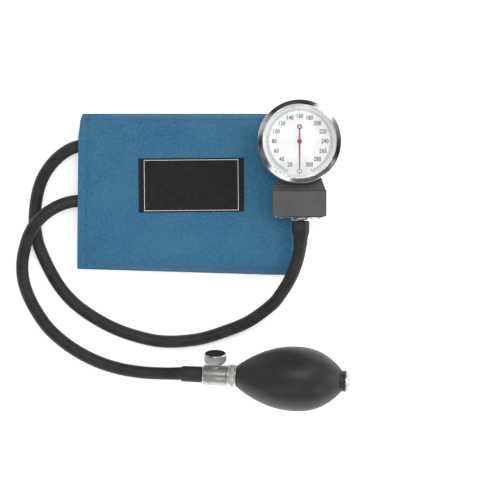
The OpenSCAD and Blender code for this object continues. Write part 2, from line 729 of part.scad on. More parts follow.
module capsule_pin() {
    color(steel) at_gauge() {
        translate([0, 0, capsule_top + seat_gap]) cylinder(d = 4.4, h = pad_t);
        translate([0, 0, capsule_top + seat_gap]) cylinder(d = 1.2, h = arm_tip_z - pin_gap - capsule_top);
    }
}

// Pointer: a thin blade with a hub and a ring on its tail; it points at zero when at rest
tail_l = 11.2;
tail_ring_d = 3.8;
module pointer() {
    color(crimson) at_gauge() {
        difference() {
            translate([0, 0, pointer_z]) linear_extrude(pointer_t) difference() {
                union() {
                    polygon([[-0.55, 0], [-0.35, -pointer_l], [0.35, -pointer_l], [0.55, 0],
                        [0.5, tail_l - 1.4], [-0.5, tail_l - 1.4]]);
                    translate([0, tail_l]) circle(d = tail_ring_d);
                    circle(d = hub_d);
                }
                translate([0, tail_l]) circle(d = tail_ring_d - 1.8);
                circle(d = arbor_d);
            }
        }
        translate([0, 0, pointer_z + pointer_t]) difference() {
            cylinder(d1 = hub_d, d2 = hub_d - 0.8, h = 0.6);
            translate([0, 0, -0.1]) cylinder(d = arbor_d, h = 0.5);
        }
    }
}

// Hose nipple of the gauge, through the chrome plate on the end of the neck block
plate_t = 1;
collar_t = 2.4;
barb_l = 13;
barb_d = 6.4;
bore_d = 2.6;
module end_plate() {
    color(chrome) at_gauge() difference() {
        translate([0, -block_reach, nipple_z]) rotate([90, 0, 0]) rounded_plate([block_w - 2.4, block_t - 3], 2, plate_t);
        translate([nipple_x, -block_reach + 1, nipple_z]) rotate([90, 0, 0]) cylinder(d = thread_d + 2 * seat_gap, h = plate_t + 2);
        at_plate_screws() translate([0, 0, -1]) cylinder(d = screw_d + 0.2, h = plate_t + 2);
    }
}
module end_plate_screws() {
    color(steel) at_gauge() at_plate_screws() translate([0, 0, plate_t]) screw(plate_screw_l - 0.5, 3, 0.9);
}
// Barbed tail along +Z, base at the origin
module barbed_tail(length, d) {
    rotate_extrude() polygon([
        [0, 0], [d / 2 - 0.5, 0], [d / 2 - 0.5, length - 9], [d / 2, length - 8.5], [d / 2 - 0.5, length - 5],
        [d / 2, length - 4.5], [d / 2 - 1, length], [0, length]
    ]);
}
module gauge_nipple() {
    color(chrome) at_gauge() translate([nipple_x, -block_reach, nipple_z]) rotate([90, 0, 0]) difference() {
        union() {
            translate([0, 0, -thread_l + 0.2]) cylinder(d = thread_d, h = thread_l + plate_t);
            translate([0, 0, plate_t + seat_gap]) rotate_extrude() polygon([
                [0, 0], [collar_d / 2 - 0.4, 0], [collar_d / 2, 0.4], [collar_d / 2, collar_t - 0.6],
                [collar_d / 2 - 0.6, collar_t], [0, collar_t]
            ]);
            translate([0, 0, plate_t + collar_t]) barbed_tail(barb_l, barb_d);
        }
        translate([0, 0, -thread_l]) cylinder(d = bore_d, h = thread_l + plate_t + collar_t + barb_l + 1);
    }
}

// Bulb profile along its own axis, from the valve collar's face
neck_r = bulb_neck_d / 2;
tail_r = bulb_tail_d / 2;
belly_r = bulb_d / 2;
tail_len = 4;
belly_x = 0.525 * bulb_l;
tail_x = bulb_l - tail_len;
function front_r(x) = let (u = 1 - x / belly_x) neck_r + (belly_r - neck_r) * (1 - u * u);
function back_r(x) = let (u = (x - belly_x) / (tail_x - belly_x)) tail_r + 0.9 + (belly_r - tail_r - 0.9) * (1 - pow(u, 2.5));
function bulb_r(x) = x < belly_x ? front_r(x) : x < tail_x ? back_r(x) : tail_r;
front_steps = 14;
back_steps = 14;
bulb_outline = concat(
    [for (k = [0 : front_steps]) let (x = belly_x * k / front_steps) [front_r(x), x]],
    [for (k = [1 : back_steps]) let (x = belly_x + (tail_x - belly_x) * k / back_steps) [back_r(x), x]],
    [[tail_r - 0.2, tail_x + 1.2], [tail_r + 0.1, bulb_l - 0.6], [tail_r - 0.1, bulb_l]]
);
spigot_r = 5.5;
spigot_l = 13;
inlet_r = 5.6;
inlet_l = 11;
cavity_outline = concat(
    [for (x = [spigot_l + 1 : 4 : tail_x - 8]) [bulb_r(x) - bulb_wall, x]],
    [[inlet_r, bulb_l - inlet_l]]
);
bulb_tip = 8;
bulb_yaw = -2.6;
bulb_px = 18.4;
bulb_py = -93;
bulb_pz = max([for (p = bulb_outline) p.x * cos(bulb_tip) - p.y * sin(bulb_tip)]) + 0.02;
// Children are drawn along +Z from the valve collar's face to the tail
module at_bulb() {
    translate([bulb_px, bulb_py, bulb_pz]) rotate([0, -bulb_tip, bulb_yaw]) rotate([0, 90, 0]) children();
}
module bulb() {
    color(rubber) at_bulb() rotate_extrude($fn = 72) polygon(concat(
        [[spigot_r, 0.05]], [[neck_r, 0.05]], [for (k = [1 : len(bulb_outline) - 1]) bulb_outline[k]],
        [[inlet_r, bulb_l]], turned(cavity_outline), [[spigot_r, spigot_l + 0.9]]
    ));
}

// Release valve along the bulb's axis, below the collar's face
body_z = -valve_collar_l - valve_l;
chamber_d = 7.2;
axial_d = 3;
port_z = -valve_collar_l - valve_l / 2;
boss_top = 9;
boss_d2 = 9.4;
seat_z = 3.5;
seal_z = 7.2;
seal_t = 1.1;
seal_d = 6.8;
knob_tip = 20;
// Children are drawn along the knob's axis, from the valve's axis outwards
module at_knob() {
    at_bulb() translate([0, 0, port_z]) rotate([0, 0, knob_tip]) rotate([-90, 0, 0]) children();
}
module knob_bore(z, d, h) {
    translate([0, 0, z]) cylinder(d = d, h = h);
}
stub_l = 2.4;
module valve_body() {
    color(nickel) difference() {
        union() {
            at_bulb() translate([0, 0, body_z]) rotate_extrude() polygon([
                [0, 0], [valve_d / 2 - 1.2, 0], [valve_d / 2, 1.2], [valve_d / 2, valve_l],
                [valve_collar_d / 2 - 1.8, valve_l], [valve_collar_d / 2 - 1.8, valve_l + stub_l], [0, valve_l + stub_l]
            ]);
            at_knob() cylinder(d = boss_d2, h = boss_top);
        }
        at_bulb() translate([0, 0, body_z - 1]) cylinder(d = axial_d, h = valve_l + stub_l + 2);
        at_bulb() translate([0, 0, body_z - 1]) cylinder(d = barb_d - 0.4, h = 5);
        at_knob() knob_bore(0, 2, boss_top);
        at_knob() knob_bore(seat_z, needle_d + 2 * run_gap, boss_top);
        at_knob() knob_bore(seal_z, seal_d, seal_t);
        at_knob() translate([0, 0, seat_z + 1.6]) rotate([90, 0, 0]) cylinder(d = 1.6, h = valve_d);
    }
}
module valve_nipple() {
    color(nickel) at_bulb() translate([0, 0, body_z + 4]) mirror([0, 0, 1]) difference() {
        union() {
            cylinder(d = barb_d - 0.4, h = 5);
            translate([0, 0, 4.5]) barbed_tail(13, barb_d);
        }
        translate([0, 0, -1]) cylinder(d = bore_d, h = 22);
    }
}
module valve_collar() {
    inner = valve_collar_d / 2 - 1.8 + seat_gap;
    ring = valve_collar_d / 2;
    color(nickel) at_bulb() translate([0, 0, -valve_collar_l]) rotate_extrude($fn = 72) polygon([
        [inner, 0], [ring - 0.3, 0], [ring, 0.3], [ring, 1.3], [ring - 0.4, 1.6], [ring - 0.4, 2], [ring - 0.1, 2.2],
        [ring - 0.1, valve_collar_l - 1.8], [ring - 0.4, valve_collar_l - 1.6], [ring - 0.4, valve_collar_l - 1.2],
        [ring, valve_collar_l - 0.9], [ring, valve_collar_l - 0.2], [ring - 0.2, valve_collar_l],
        [spigot_r + seat_gap, valve_collar_l], [spigot_r + seat_gap, valve_collar_l - 1.2],
        [inner, valve_collar_l - 1.2]
    ]);
}
disc_d = 6.4;
disc_t = 1;
module bulb_spigot() {
    flange_r = valve_collar_d / 2 - 1.9;
    low = -valve_collar_l + stub_l + 0.05;
    color(nickel) at_bulb() difference() {
        union() {
            translate([0, 0, low]) cylinder(r = flange_r, h = -1.25 - low);
            cylinder(r = spigot_r - 0.02, h = spigot_l - 0.5);
            translate([0, 0, -2]) cylinder(r = spigot_r - 0.1, h = 2.1);
        }
        translate([0, 0, low - 1]) cylinder(d = chamber_d, h = 1 + disc_t + disc_lift + 0.4);
        translate([0, 0, low]) cylinder(d = axial_d, h = spigot_l + 8);
    }
}
module outlet_disc() {
    top = -valve_collar_l + stub_l + 0.05 + disc_t + disc_lift + 0.4;
    color(rubber) at_bulb() translate([0, 0, top - disc_t - 0.02]) cylinder(d = disc_d, h = disc_t);
}
knob_z = boss_top + 0.25;
knob_flutes = 36;
flute = 0.3;
stem_top = knob_z + knob_h - 2.6;
module release_knob() {
    r = knob_d / 2;
    color(chrome) at_knob() translate([0, 0, knob_z]) difference() {
        intersection() {
            linear_extrude(knob_h) polygon([for (k = [0 : 2 * knob_flutes - 1]) let (
                a = 180 * k / knob_flutes, q = r - (k % 2) * flute) q * [cos(a), sin(a)]]);
            rotate_extrude() polygon([
                [0, 0], [r - 1.4, 0], [r + 0.3, 1.5], [r + 0.3, knob_h - 1.2], [r - 0.9, knob_h],
                [r - 2, knob_h], [r - 2.6, knob_h - 0.4], [0, knob_h - 0.4]
            ]);
        }
        translate([0, 0, -1]) cylinder(d = needle_d + 2 * run_gap, h = stem_top - knob_z + 1.1);
    }
}
module release_needle() {
    tip = seat_z + 0.05;
    color(steel) at_knob() {
        translate([0, 0, tip]) cylinder(d = needle_d, h = stem_top - tip);
        translate([0, 0, tip - 0.9]) cylinder(d1 = 0.8, d2 = 1.6, h = 1);
    }
}
module needle_seal() {
    color(dark) at_knob() translate([0, 0, seal_z + 0.02]) difference() {
        cylinder(d = seal_d - 0.05, h = seal_t - 0.04);
        translate([0, 0, -1]) cylinder(d = needle_d + 2 * run_gap, h = seal_t + 2);
    }
}

// Inlet valve in the bulb's tail
cap_t = 1.6;
cap_d = 14.6;
cap_hole = 4.4;
module inlet_body() {
    color(nickel) at_bulb() translate([0, 0, bulb_l - inlet_l]) difference() {
        cylinder(r = inlet_r - 0.02, h = inlet_l - 0.05);
        translate([0, 0, -1]) cylinder(d = axial_d, h = inlet_l + 2);
        translate([0, 0, inlet_l - disc_t - disc_lift - 0.4]) cylinder(d = chamber_d, h = inlet_l);
    }
}
module inlet_disc() {
    color(rubber) at_bulb() translate([0, 0, bulb_l - disc_t - 0.02]) cylinder(d = disc_d, h = disc_t);
}
module inlet_cap() {
    r = cap_d / 2;
    color(chrome) at_bulb() translate([0, 0, bulb_l]) rotate_extrude() polygon([
        [cap_hole / 2, 0], [r, 0], [r, cap_t - 0.7], [r - 0.7, cap_t], [cap_hole / 2 + 1.4, cap_t],
        [cap_hole / 2, cap_t - 0.6]
    ]);
}

// Hose routes from the bladder to the nipples, and the radii of the rings stretched over the nipples
hose_r = hose_d / 2;
gauge_route = [
    [-93, 84.5, 12.3], [-107, 84.5, 12.3], [-114, 80.5, 11.2], [-121, 74.5, 8.8], [-128, 66.5, 6.4], [-134, 55.5, 5],
    [-136.5, 43, 4.8], [-138, 30, 4.8], [-136.5, 16, 4.8], [-133, 3.5, 4.8], [-123, -17, 4.8], [-112, -32, 4.8],
    [-98, -44, 4.8], [-78, -55.5, 4.8], [-57, -63, 4.8], [-36, -66.5, 4.8], [-11, -64.5, 4.8], [10.5, -58, 5.5],
    [28, -50.5, 9], [45, -38, 14.5], [52, -29.5, 18], [58, -20, 21.6], [63, -9, 25.4], [66, 2, 28.7],
    [67.1, 12, 30.7], [67.2, 19, 31.2], [67.2, 26.4, 31.2]
];
gauge_end_rings = [5.4, gauge_hose_end_d / 2, gauge_hose_end_d / 2];
bulb_route = [
    [-93, 42, 12.3], [-107, 42, 12.3], [-115, 40.3, 12.8], [-124, 36, 14], [-131.5, 30.5, 14.8], [-138, 23.5, 15],
    [-143, 14.5, 13.5], [-146, 3, 9.5], [-147.3, -8, 6], [-146.3, -19.5, 4.9], [-142.8, -30.5, 4.8], [-137, -42, 4.8],
    [-128, -55, 4.8], [-117, -65.5, 4.8], [-104, -74.5, 4.8], [-89, -82, 4.8], [-72, -87.4, 5], [-54, -90.2, 7.2],
    [-37, -91, 10.7], [-26, -91, 12.8], [-22.5, -91.15, 13.3], [-8.2, -91.8, 15.3]
];
bulb_end_rings = [5, bulb_hose_end_d / 2, bulb_hose_end_d / 2];
hose_sides = 10;
function unit(v) = v / norm(v);
function along(route, i) = unit(route[min(i + 1, len(route) - 1)] - route[max(i - 1, 0)]);
function ring_r(i, count, ends) = i < count - len(ends) ? hose_r : ends[i - count + len(ends)];
module hose(route, ends) {
    count = len(route);
    points = [for (i = [0 : count - 1]) let (
        dir = along(route, i),
        side = unit(cross(dir, [0, 0, 1])),
        up = cross(side, dir),
        r = ring_r(i, count, ends))
        for (k = [0 : hose_sides - 1]) let (a = 360 * k / hose_sides)
            route[i] + r * (cos(a) * side + sin(a) * up)];
    sides = [for (i = [0 : count - 2]) for (k = [0 : hose_sides - 1]) let (
        n = (k + 1) % hose_sides,
        a = i * hose_sides + k, b = i * hose_sides + n)
        each quad(a, b, b + hose_sides, a + hose_sides)];
    start = [for (k = [1 : hose_sides - 2]) [0, k + 1, k]];
    last = (count - 1) * hose_sides;
    end = [for (k = [1 : hose_sides - 2]) [last, last + k, last + k + 1]];
    polyhedron(points = points, faces = concat(sides, start, end));
}
module gauge_hose() {
    color(rubber) hose(gauge_route, gauge_end_rings);
}
module bulb_hose() {
    color(rubber) hose(bulb_route, bulb_end_rings);
}

outer_cloth();
inner_cloth();
bladder();
loop_patch();
hook_patch();
woven_label();
gauge_strap();
gauge_hose();
bulb_hose();
gauge_case();
gauge_bezel();
gauge_crystal();
crystal_gasket();
dial_ring();
dial_plate();
pointer();
pinion_arbor();
hairspring();
sector_gear();
rocking_shaft();
shaft_bearings();
capsule_pin();
capsule_upper();
capsule_lower();
capsule_stem();
movement_base();
base_screws();
movement_pillars();
movement_bridge();
bridge_screws();
movement_cock();
cock_screws();
gauge_hook();
hook_rivets();
end_plate();
end_plate_screws();
gauge_nipple();
valve_body();
valve_nipple();
valve_collar();
bulb_spigot();
outlet_disc();
release_knob();
release_needle();
needle_seal();
bulb();
inlet_body();
inlet_disc();
inlet_cap();
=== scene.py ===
# Looks of a pocket blood pressure set: folded arm cuff, round gauge, two hoses, release valve and hand bulb.

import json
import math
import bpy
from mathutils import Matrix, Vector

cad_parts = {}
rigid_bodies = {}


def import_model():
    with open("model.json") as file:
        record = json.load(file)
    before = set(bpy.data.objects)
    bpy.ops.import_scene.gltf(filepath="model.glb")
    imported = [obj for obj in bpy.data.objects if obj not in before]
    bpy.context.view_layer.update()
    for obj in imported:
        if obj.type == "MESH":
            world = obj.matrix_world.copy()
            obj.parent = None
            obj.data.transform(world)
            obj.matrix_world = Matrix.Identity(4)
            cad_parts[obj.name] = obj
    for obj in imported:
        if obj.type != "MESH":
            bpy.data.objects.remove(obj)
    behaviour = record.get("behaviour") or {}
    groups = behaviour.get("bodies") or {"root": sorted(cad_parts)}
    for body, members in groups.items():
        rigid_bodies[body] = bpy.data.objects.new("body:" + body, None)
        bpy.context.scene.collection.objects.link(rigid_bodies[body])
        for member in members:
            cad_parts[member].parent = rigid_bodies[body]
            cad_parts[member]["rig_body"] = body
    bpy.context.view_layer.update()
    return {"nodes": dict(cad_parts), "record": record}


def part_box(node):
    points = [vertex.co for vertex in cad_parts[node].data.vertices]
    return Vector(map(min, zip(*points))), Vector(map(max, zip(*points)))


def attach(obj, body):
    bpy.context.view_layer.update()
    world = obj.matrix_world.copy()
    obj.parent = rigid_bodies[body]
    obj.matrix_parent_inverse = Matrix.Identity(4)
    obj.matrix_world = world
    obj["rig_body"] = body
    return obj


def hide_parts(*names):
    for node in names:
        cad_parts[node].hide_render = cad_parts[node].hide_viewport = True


bl_info = {
    "name": "Pocket Blood Pressure Set",
    "version": (1, 0, 0),
    "blender": (4, 5, 0),
    "location": "3D Viewport > Sidebar > Pressure Set",
    "description": "Cloth, rubber, chrome and enamel pieces over the packed frame",
    "category": "Object",
}

import bmesh
import bpy
from bpy.props import FloatProperty, FloatVectorProperty, IntProperty, PointerProperty
from mathutils import Matrix, Vector, noise
from mathutils.bvhtree import BVHTree

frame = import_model()
MM = 0.001


# Places are matrices from a part's own millimetres to the frame's metres
def turned(degrees, axis):
    return Matrix.Rotation(math.radians(degrees), 4, axis)


# Cuff: the sizes of the folded cloth in millimetres, as the frame has them
PANEL_L = 171
CUFF_W = 119.6
CUFF_FLARE = 5
CUFF_LEAN = 4
CLOTH_T = 0.8
FOLD_BULGE = 7.5
HEM_X = -105
HEM_INSET = 1.2
CUFF_TOP_Y = 109.1
LEFT_FOLD_INSET = 1.5
FREE_END_INSET = 7
LAYER_GAP = 0.1
BOTTOM_Z = 0.8
BOTTOM_TOP_Z = BOTTOM_Z + 2 * CLOTH_T + LAYER_GAP
MIDDLE_Z = 4.5
POCKET_Z = 7.4
EDGE_Z = POCKET_Z + LAYER_GAP + CLOTH_T
CROWN_Z = 18.1
LEFT_FOLD_R = (MIDDLE_Z - BOTTOM_TOP_Z) / 2 + 2 * CLOTH_T + LAYER_GAP
STRAP_X = 51.5

# Gauge: sizes in millimetres, with heights above the case's back
GAUGE_AT = (66.3, 87.6, 21.7)
CASE_R = 30.2
CASE_H = 24
CAVITY_R = 25.5
REBATE_R = 28.9
DIAL_Z = 21
DIAL_T = 0.6
WINDOW_R = 28.0
BEZEL_R = (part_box("gauge_bezel")[1].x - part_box("gauge_bezel")[0].x) / 2 / MM
LIP_Z = 27.25
CREST = 3.2
BLOCK_HALF = 20.7
BLOCK_T = 19
BLOCK_REACH = 57.6
BLOCK_NECK_HALF = 16.6
SHOULDER_Y = 37.1
SHOULDER_START_Y = SHOULDER_Y - 9.2
GROOVE_DEPTH = 0.9
SCREW_X = 15
NIPPLE_X = 0.9
NIPPLE_Z = 9.5
POINTER_Z = 22.8
POINTER_L = 21.9
TAIL_L = 11.2

# Valve and bulb: sizes in millimetres along the bulb's axis, from the collar's face, and turns in degrees
BULB_AT = (18.4, -93, 19.058)
BULB_TURN = -2.6
BULB_TILT = -8
VALVE_R = 7.95
VALVE_L = 19.5
COLLAR_R = 8.95
COLLAR_L = 7.3
BULB_L = 84.9
BELLY_R = 24.9
BELLY_X = 0.525 * BULB_L
NECK_R = 8.5
TAIL_R = 7.7
TAIL_X = BULB_L - 4
BULB_WALL = 2.6
KNOB_R = 8.75
KNOB_H = 8.7
KNOB_Z = 9.25
KNOB_TURN = 20

# Places of gauge head, bulb and knob
SCALE = Matrix.Scale(MM, 4)
GAUGE = Matrix.Translation(Vector(GAUGE_AT) * MM) @ SCALE
BULB_AIM = turned(BULB_TURN, "Z") @ turned(BULB_TILT, "Y") @ turned(90, "Y")
BULB = Matrix.Translation(Vector(BULB_AT) * MM) @ BULB_AIM @ SCALE
KNOB_AT = Matrix.Translation(Vector((0, 0, -COLLAR_L - VALVE_L / 2)))
KNOB = BULB @ KNOB_AT @ turned(KNOB_TURN, "Z") @ turned(-90, "X")

# Routes of the two hoses' middle lines in metres, from the bladder to the fittings
GAUGE_ROUTE = [
    (-0.093, 0.0848, 0.0123), (-0.1, 0.0848, 0.0123), (-0.107, 0.0835, 0.012),
    (-0.114, 0.0801, 0.0109), (-0.121, 0.0745, 0.0088), (-0.128, 0.0665, 0.0064),
    (-0.134, 0.0555, 0.005), (-0.1365, 0.043, 0.0048), (-0.138, 0.03, 0.0048),
    (-0.1365, 0.016, 0.0048), (-0.133, 0.0035, 0.0048), (-0.123, -0.017, 0.0048),
    (-0.112, -0.032, 0.0048), (-0.098, -0.044, 0.0048), (-0.078, -0.0555, 0.0048),
    (-0.057, -0.063, 0.0048), (-0.036, -0.0665, 0.0048), (-0.011, -0.0645, 0.0048),
    (0.0105, -0.058, 0.0055), (0.028, -0.0505, 0.009), (0.045, -0.038, 0.0145),
    (0.052, -0.0295, 0.018), (0.058, -0.02, 0.0216), (0.063, -0.009, 0.0254),
    (0.066, 0.002, 0.0287), (0.0671, 0.012, 0.0307), (0.0672, 0.019, 0.0312),
    (0.0672, 0.0264, 0.0312),
]
BULB_ROUTE = [
    (-0.093, 0.0422, 0.0123), (-0.1, 0.0422, 0.0123), (-0.107, 0.0418, 0.0125),
    (-0.115, 0.0401, 0.0131), (-0.124, 0.036, 0.0144), (-0.1315, 0.0305, 0.0153),
    (-0.138, 0.0235, 0.0155), (-0.143, 0.0145, 0.0139), (-0.146, 0.003, 0.0097),
    (-0.1473, -0.008, 0.006), (-0.1463, -0.0195, 0.0049), (-0.1428, -0.0305, 0.0048),
    (-0.137, -0.042, 0.0048), (-0.128, -0.055, 0.0048), (-0.117, -0.0655, 0.0048),
    (-0.104, -0.0745, 0.0048), (-0.089, -0.082, 0.0048), (-0.072, -0.0874, 0.005),
    (-0.054, -0.0902, 0.0072), (-0.037, -0.091, 0.0107), (-0.026, -0.091, 0.0128),
    (-0.0225, -0.09115, 0.0133), (-0.0082, -0.0918, 0.0153),
]
GAUGE_SLEEVE = (0.0054, 0.0067, 0.0067)
BULB_SLEEVE = (0.005, 0.0061, 0.0062)


# What a user may change
def colour_setting(name, description, default):
    return FloatVectorProperty(
        name=name, description=description, subtype="COLOR", size=3, min=0, max=1, default=default)


def length_setting(name, description, low, high, default):
    return FloatProperty(
        name=name, description=description, unit="LENGTH", min=low, max=high, default=default)


class CuffLook(bpy.types.PropertyGroup):
    """Sizes and colours of the cuff's cloth."""

    cloth_colour: colour_setting("Cloth colour", "Dyed nylon of the cuff", (0.0265, 0.120, 0.216))
    thread_colour: colour_setting("Thread colour", "Sewing thread of the seams", (0.020, 0.075, 0.145))
    stitch_pitch: length_setting(
        "Stitch pitch", "Distance from one stitch to the next", 0.0015, 0.006, 0.0026)
    puff: length_setting("Puff", "How far the cloth may swell between its seams", 0, 0.003, 0.0012)


class LabelLook(bpy.types.PropertyGroup):
    """Sizes and colours of the woven label."""

    ground_colour: colour_setting("Ground colour", "Satin ground of the label", (0.012, 0.012, 0.014))
    border_colour: colour_setting("Border colour", "Thread of the label's frame line", (0.55, 0.55, 0.56))
    border_inset: length_setting(
        "Border inset", "From the label's short sides to its frame line", 0.001, 0.01, 0.0044)


class HoseLook(bpy.types.PropertyGroup):
    """Size and colour of the two hoses."""

    diameter: length_setting("Diameter", "Outside diameter of the hoses", 0.006, 0.0098, 0.0096)
    colour: colour_setting("Colour", "Rubber of the hoses", (0.0192, 0.0183, 0.0192))


class GaugeLook(bpy.types.PropertyGroup):
    """Sizes and colours of the gauge head."""

    case_colour: colour_setting("Case colour", "Matte enamel of the case", (0.075, 0.075, 0.0775))
    ink_colour: colour_setting("Ink colour", "Figures and graduations of the dial", (0.012, 0.012, 0.015))
    pointer_colour: colour_setting("Pointer colour", "Lacquer of the pointer", (0.20, 0.008, 0.04))
    figure_height: length_setting("Figure height", "Height of the dial's figures", 0.001, 0.005, 0.0033)
    last_figure: IntProperty(
        name="Last figure", description="Highest pressure on the dial",
        min=100, max=300, step=20, default=300)


class ValveLook(bpy.types.PropertyGroup):
    """Colours and counts of the release valve."""

    nickel_colour: colour_setting("Nickel colour", "Satin nickel of the valve", (0.62, 0.605, 0.575))
    knob_ridges: IntProperty(
        name="Knob ridges", description="Ridges round the knob", min=24, max=80, default=64)
    collar_ridges: IntProperty(
        name="Collar ridges", description="Ridges round the collar", min=24, max=120, default=90)


class BulbLook(bpy.types.PropertyGroup):
    """Colour and seam of the hand bulb."""

    colour: colour_setting("Colour", "Rubber of the bulb", (0.018, 0.017, 0.017))
    seam_height: length_setting("Seam height", "Height of the mould's parting line", 0, 0.0005, 0.00018)


class StageLook(bpy.types.PropertyGroup):
    """Light and floor of the studio."""

    floor_colour: colour_setting("Floor colour", "Paper of the studio floor", (0.92, 0.92, 0.92))
    fill: FloatProperty(
        name="Fill light", description="Even light from all round", min=0, max=3, default=1.0)
    softbox: FloatProperty(
        name="Softbox light", description="Light of the strongest softbox in watts",
        min=0, max=200, default=2.2)


# Shapes
def smooth(t):
    t = min(1.0, max(0.0, t))
    return t * t * (3 - 2 * t)


def steps(start, end, count):
    """Evenly spaced values from start to end, both included."""
    return [start + (end - start) * k / (count - 1) for k in range(count)]


def around(radius, degrees):
    """Both coordinates of a point on a circle."""
    a = math.radians(degrees)
    return radius * math.cos(a), radius * math.sin(a)


def direction(turn, height):
    """Where a compass turn and a height over the floor lead, both in degrees."""
    a = math.radians(turn)
    e = math.radians(height)
    return Vector((math.cos(a) * math.cos(e), math.sin(a) * math.cos(e), math.sin(e)))


def distances(points):
    """How far each point lies along the line through all of them."""
    along = [0.0]
    for before, after in zip(points, points[1:]):
        along.append(along[-1] + (after - before).length)
    return along


def linked(name, data):
    """An object of this data in the scene."""
    obj = bpy.data.objects.new(name, data)
    bpy.context.scene.collection.objects.link(obj)
    return obj


def new_object(name, verts, faces, material=None):
    """A smooth shaded mesh object at the origin."""
    mesh = bpy.data.meshes.new(name)
    mesh.from_pydata([tuple(v) for v in verts], [], faces)
    mesh.shade_smooth()
    if material:
        mesh.materials.append(material)
    return linked(name, mesh)


def closed_object(name, verts, faces, material, crease=None):
    """A mesh with every face turned outwards, and sharp edges where faces meet above crease degrees."""
    obj = new_object(name, verts, faces, material)
    work = bmesh.new()
    work.from_mesh(obj.data)
    bmesh.ops.recalc_face_normals(work, faces=work.faces)
    work.to_mesh(obj.data)
    work.free()
    if crease:
        obj.data.set_sharp_from_angle(angle=math.radians(crease))
    return obj


def fillet(outline, closed=True, arc=4):
    """Rounds the corners of an outline of (across, along, radius) points."""
    rounded = []
    count = len(outline)
    for k, (x, y, radius) in enumerate(outline):
        corner = Vector((x, y))
        if radius == 0 or (not closed and k in (0, count - 1)):
            rounded.append(corner)
            continue
        before = Vector(outline[k - 1][:2]) - corner
        after = Vector(outline[(k + 1) % count][:2]) - corner
        reach = min(radius, 0.45 * before.length, 0.45 * after.length)
        start = corner + before.normalized() * reach
        end = corner + after.normalized() * reach
        for i in range(arc + 1):
            t = i / arc
            rounded.append((1 - t) ** 2 * start + 2 * (1 - t) * t * corner + t * t * end)
    return rounded


def lathe(name, outline, place, material, sides=96, crease=40, bump=None):
    """Turns a closed outline of (radius, height) round its own Z, then puts it in place."""
    verts = []
    rings = []
    for radius, height in outline:
        first = len(verts)
        if radius < 0.001:
            verts.append(place @ Vector((0, 0, height)))
            rings.append([first])
            continue
        for k in range(sides):
            a = 2 * math.pi * k / sides
            r = radius + (bump(radius, height, a) if bump else 0)
            verts.append(place @ Vector((r * math.cos(a), r * math.sin(a), height)))
        rings.append(range(first, first + sides))
    faces = []
    for low, high in zip(rings, rings[1:] + rings[:1]):
        if len(low) == 1 and len(high) == 1:
            continue
        for k in range(sides):
            n = (k + 1) % sides
            if len(low) == 1:
                faces.append((low[0], high[k], high[n]))
            elif len(high) == 1:
                faces.append((low[k], high[0], low[n]))
            else:
                faces.append((low[k], high[k], high[n], low[n]))
    return closed_object(name, verts, faces, material, crease)


def loft(name, rows, material, crease=None, ring=False):
    """A closed tube of loops of points in metres. A ring joins its last loop to its first."""
    sides = len(rows[0])
    verts = [p for row in rows for p in row]
    faces = []
    for i in range(len(rows) if ring else len(rows) - 1):
        for k in range(sides):
            n = (k + 1) % sides
            a = i * sides
            b = (i + 1) % len(rows) * sides
            faces.append((a + k, a + n, b + n, b + k))
    if not ring:
        last = (len(rows) - 1) * sides
        faces.append(tuple(range(sides - 1, -1, -1)))
        faces.append(tuple(range(last, last + sides)))
    return closed_object(name, verts, faces, material, crease)


def grid_object(name, rows, material):
    """An open cloth of rows of points in metres, with a UV map in metres along and across it."""
    across = len(rows[0])
    verts = [p for row in rows for p in row]
    faces = []
    for i in range(len(rows) - 1):
        for k in range(across - 1):
            a = i * across + k
            faces.append((a, a + across, a + across + 1, a + 1))
    obj = new_object(name, verts, faces, material)
    along = distances([row[across // 2] for row in rows])
    side = distances(rows[0])
    layer = obj.data.uv_layers.new(name="Cloth")
    for loop in obj.data.loops:
        i, k = divmod(loop.vertex_index, across)
        layer.data[loop.index].uv = (along[i], side[k])
    return obj


def joined(name, parts, material=None, crease=None):
    """One mesh out of several pieces, which are removed, with sharp edges above crease degrees."""
    work = bmesh.new()
    for part in parts:
        work.from_mesh(part.data)
    mesh = bpy.data.meshes.new(name)
    work.to_mesh(mesh)
    work.free()
    mesh.materials.append(material or parts[0].data.materials[0])
    for part in parts:
        bpy.data.objects.remove(part)
    if crease:
        mesh.shade_smooth()
        mesh.set_sharp_from_angle(angle=math.radians(crease))
    return linked(name, mesh)


def thicken(obj, thickness, offset=-1.0, rounds=0):
    """Cloth thickness, after rounds of subdivision."""
    if rounds:
        soft = obj.modifiers.new("Round", "SUBSURF")
        soft.levels = rounds
        soft.render_levels = rounds
    wall = obj.modifiers.new("Thickness", "SOLIDIFY")
    wall.thickness = thickness
    wall.offset = offset
    wall.use_even_offset = False


def stand_for(obj, slot, *nodes):
    """The piece rides with the nodes' body and hides them."""
    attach(obj, frame["nodes"][nodes[0]]["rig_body"])
    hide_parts(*nodes)


def ride_with(obj, node):
    """The piece rides with a node's body beside it."""
    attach(obj, frame["nodes"][node]["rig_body"])


def surface_of(obj):
    """The finished surface of a piece, for laying other pieces on it."""
    bpy.context.view_layer.update()
    return BVHTree.FromObject(obj, bpy.context.evaluated_depsgraph_get())


def height_on(surface, x, y, otherwise):
    """Height of a surface under a point of the plan, in metres."""
    hit = surface.ray_cast(Vector((x, y, 0.2)), Vector((0, 0, -1)))[0]
    return hit.z if hit else otherwise


def finished_mesh(obj):
    """A plain mesh of what an object's text or Geometry Nodes make."""
    bpy.context.view_layer.update()
    return bpy.data.meshes.new_from_object(obj.evaluated_get(bpy.context.evaluated_depsgraph_get()))


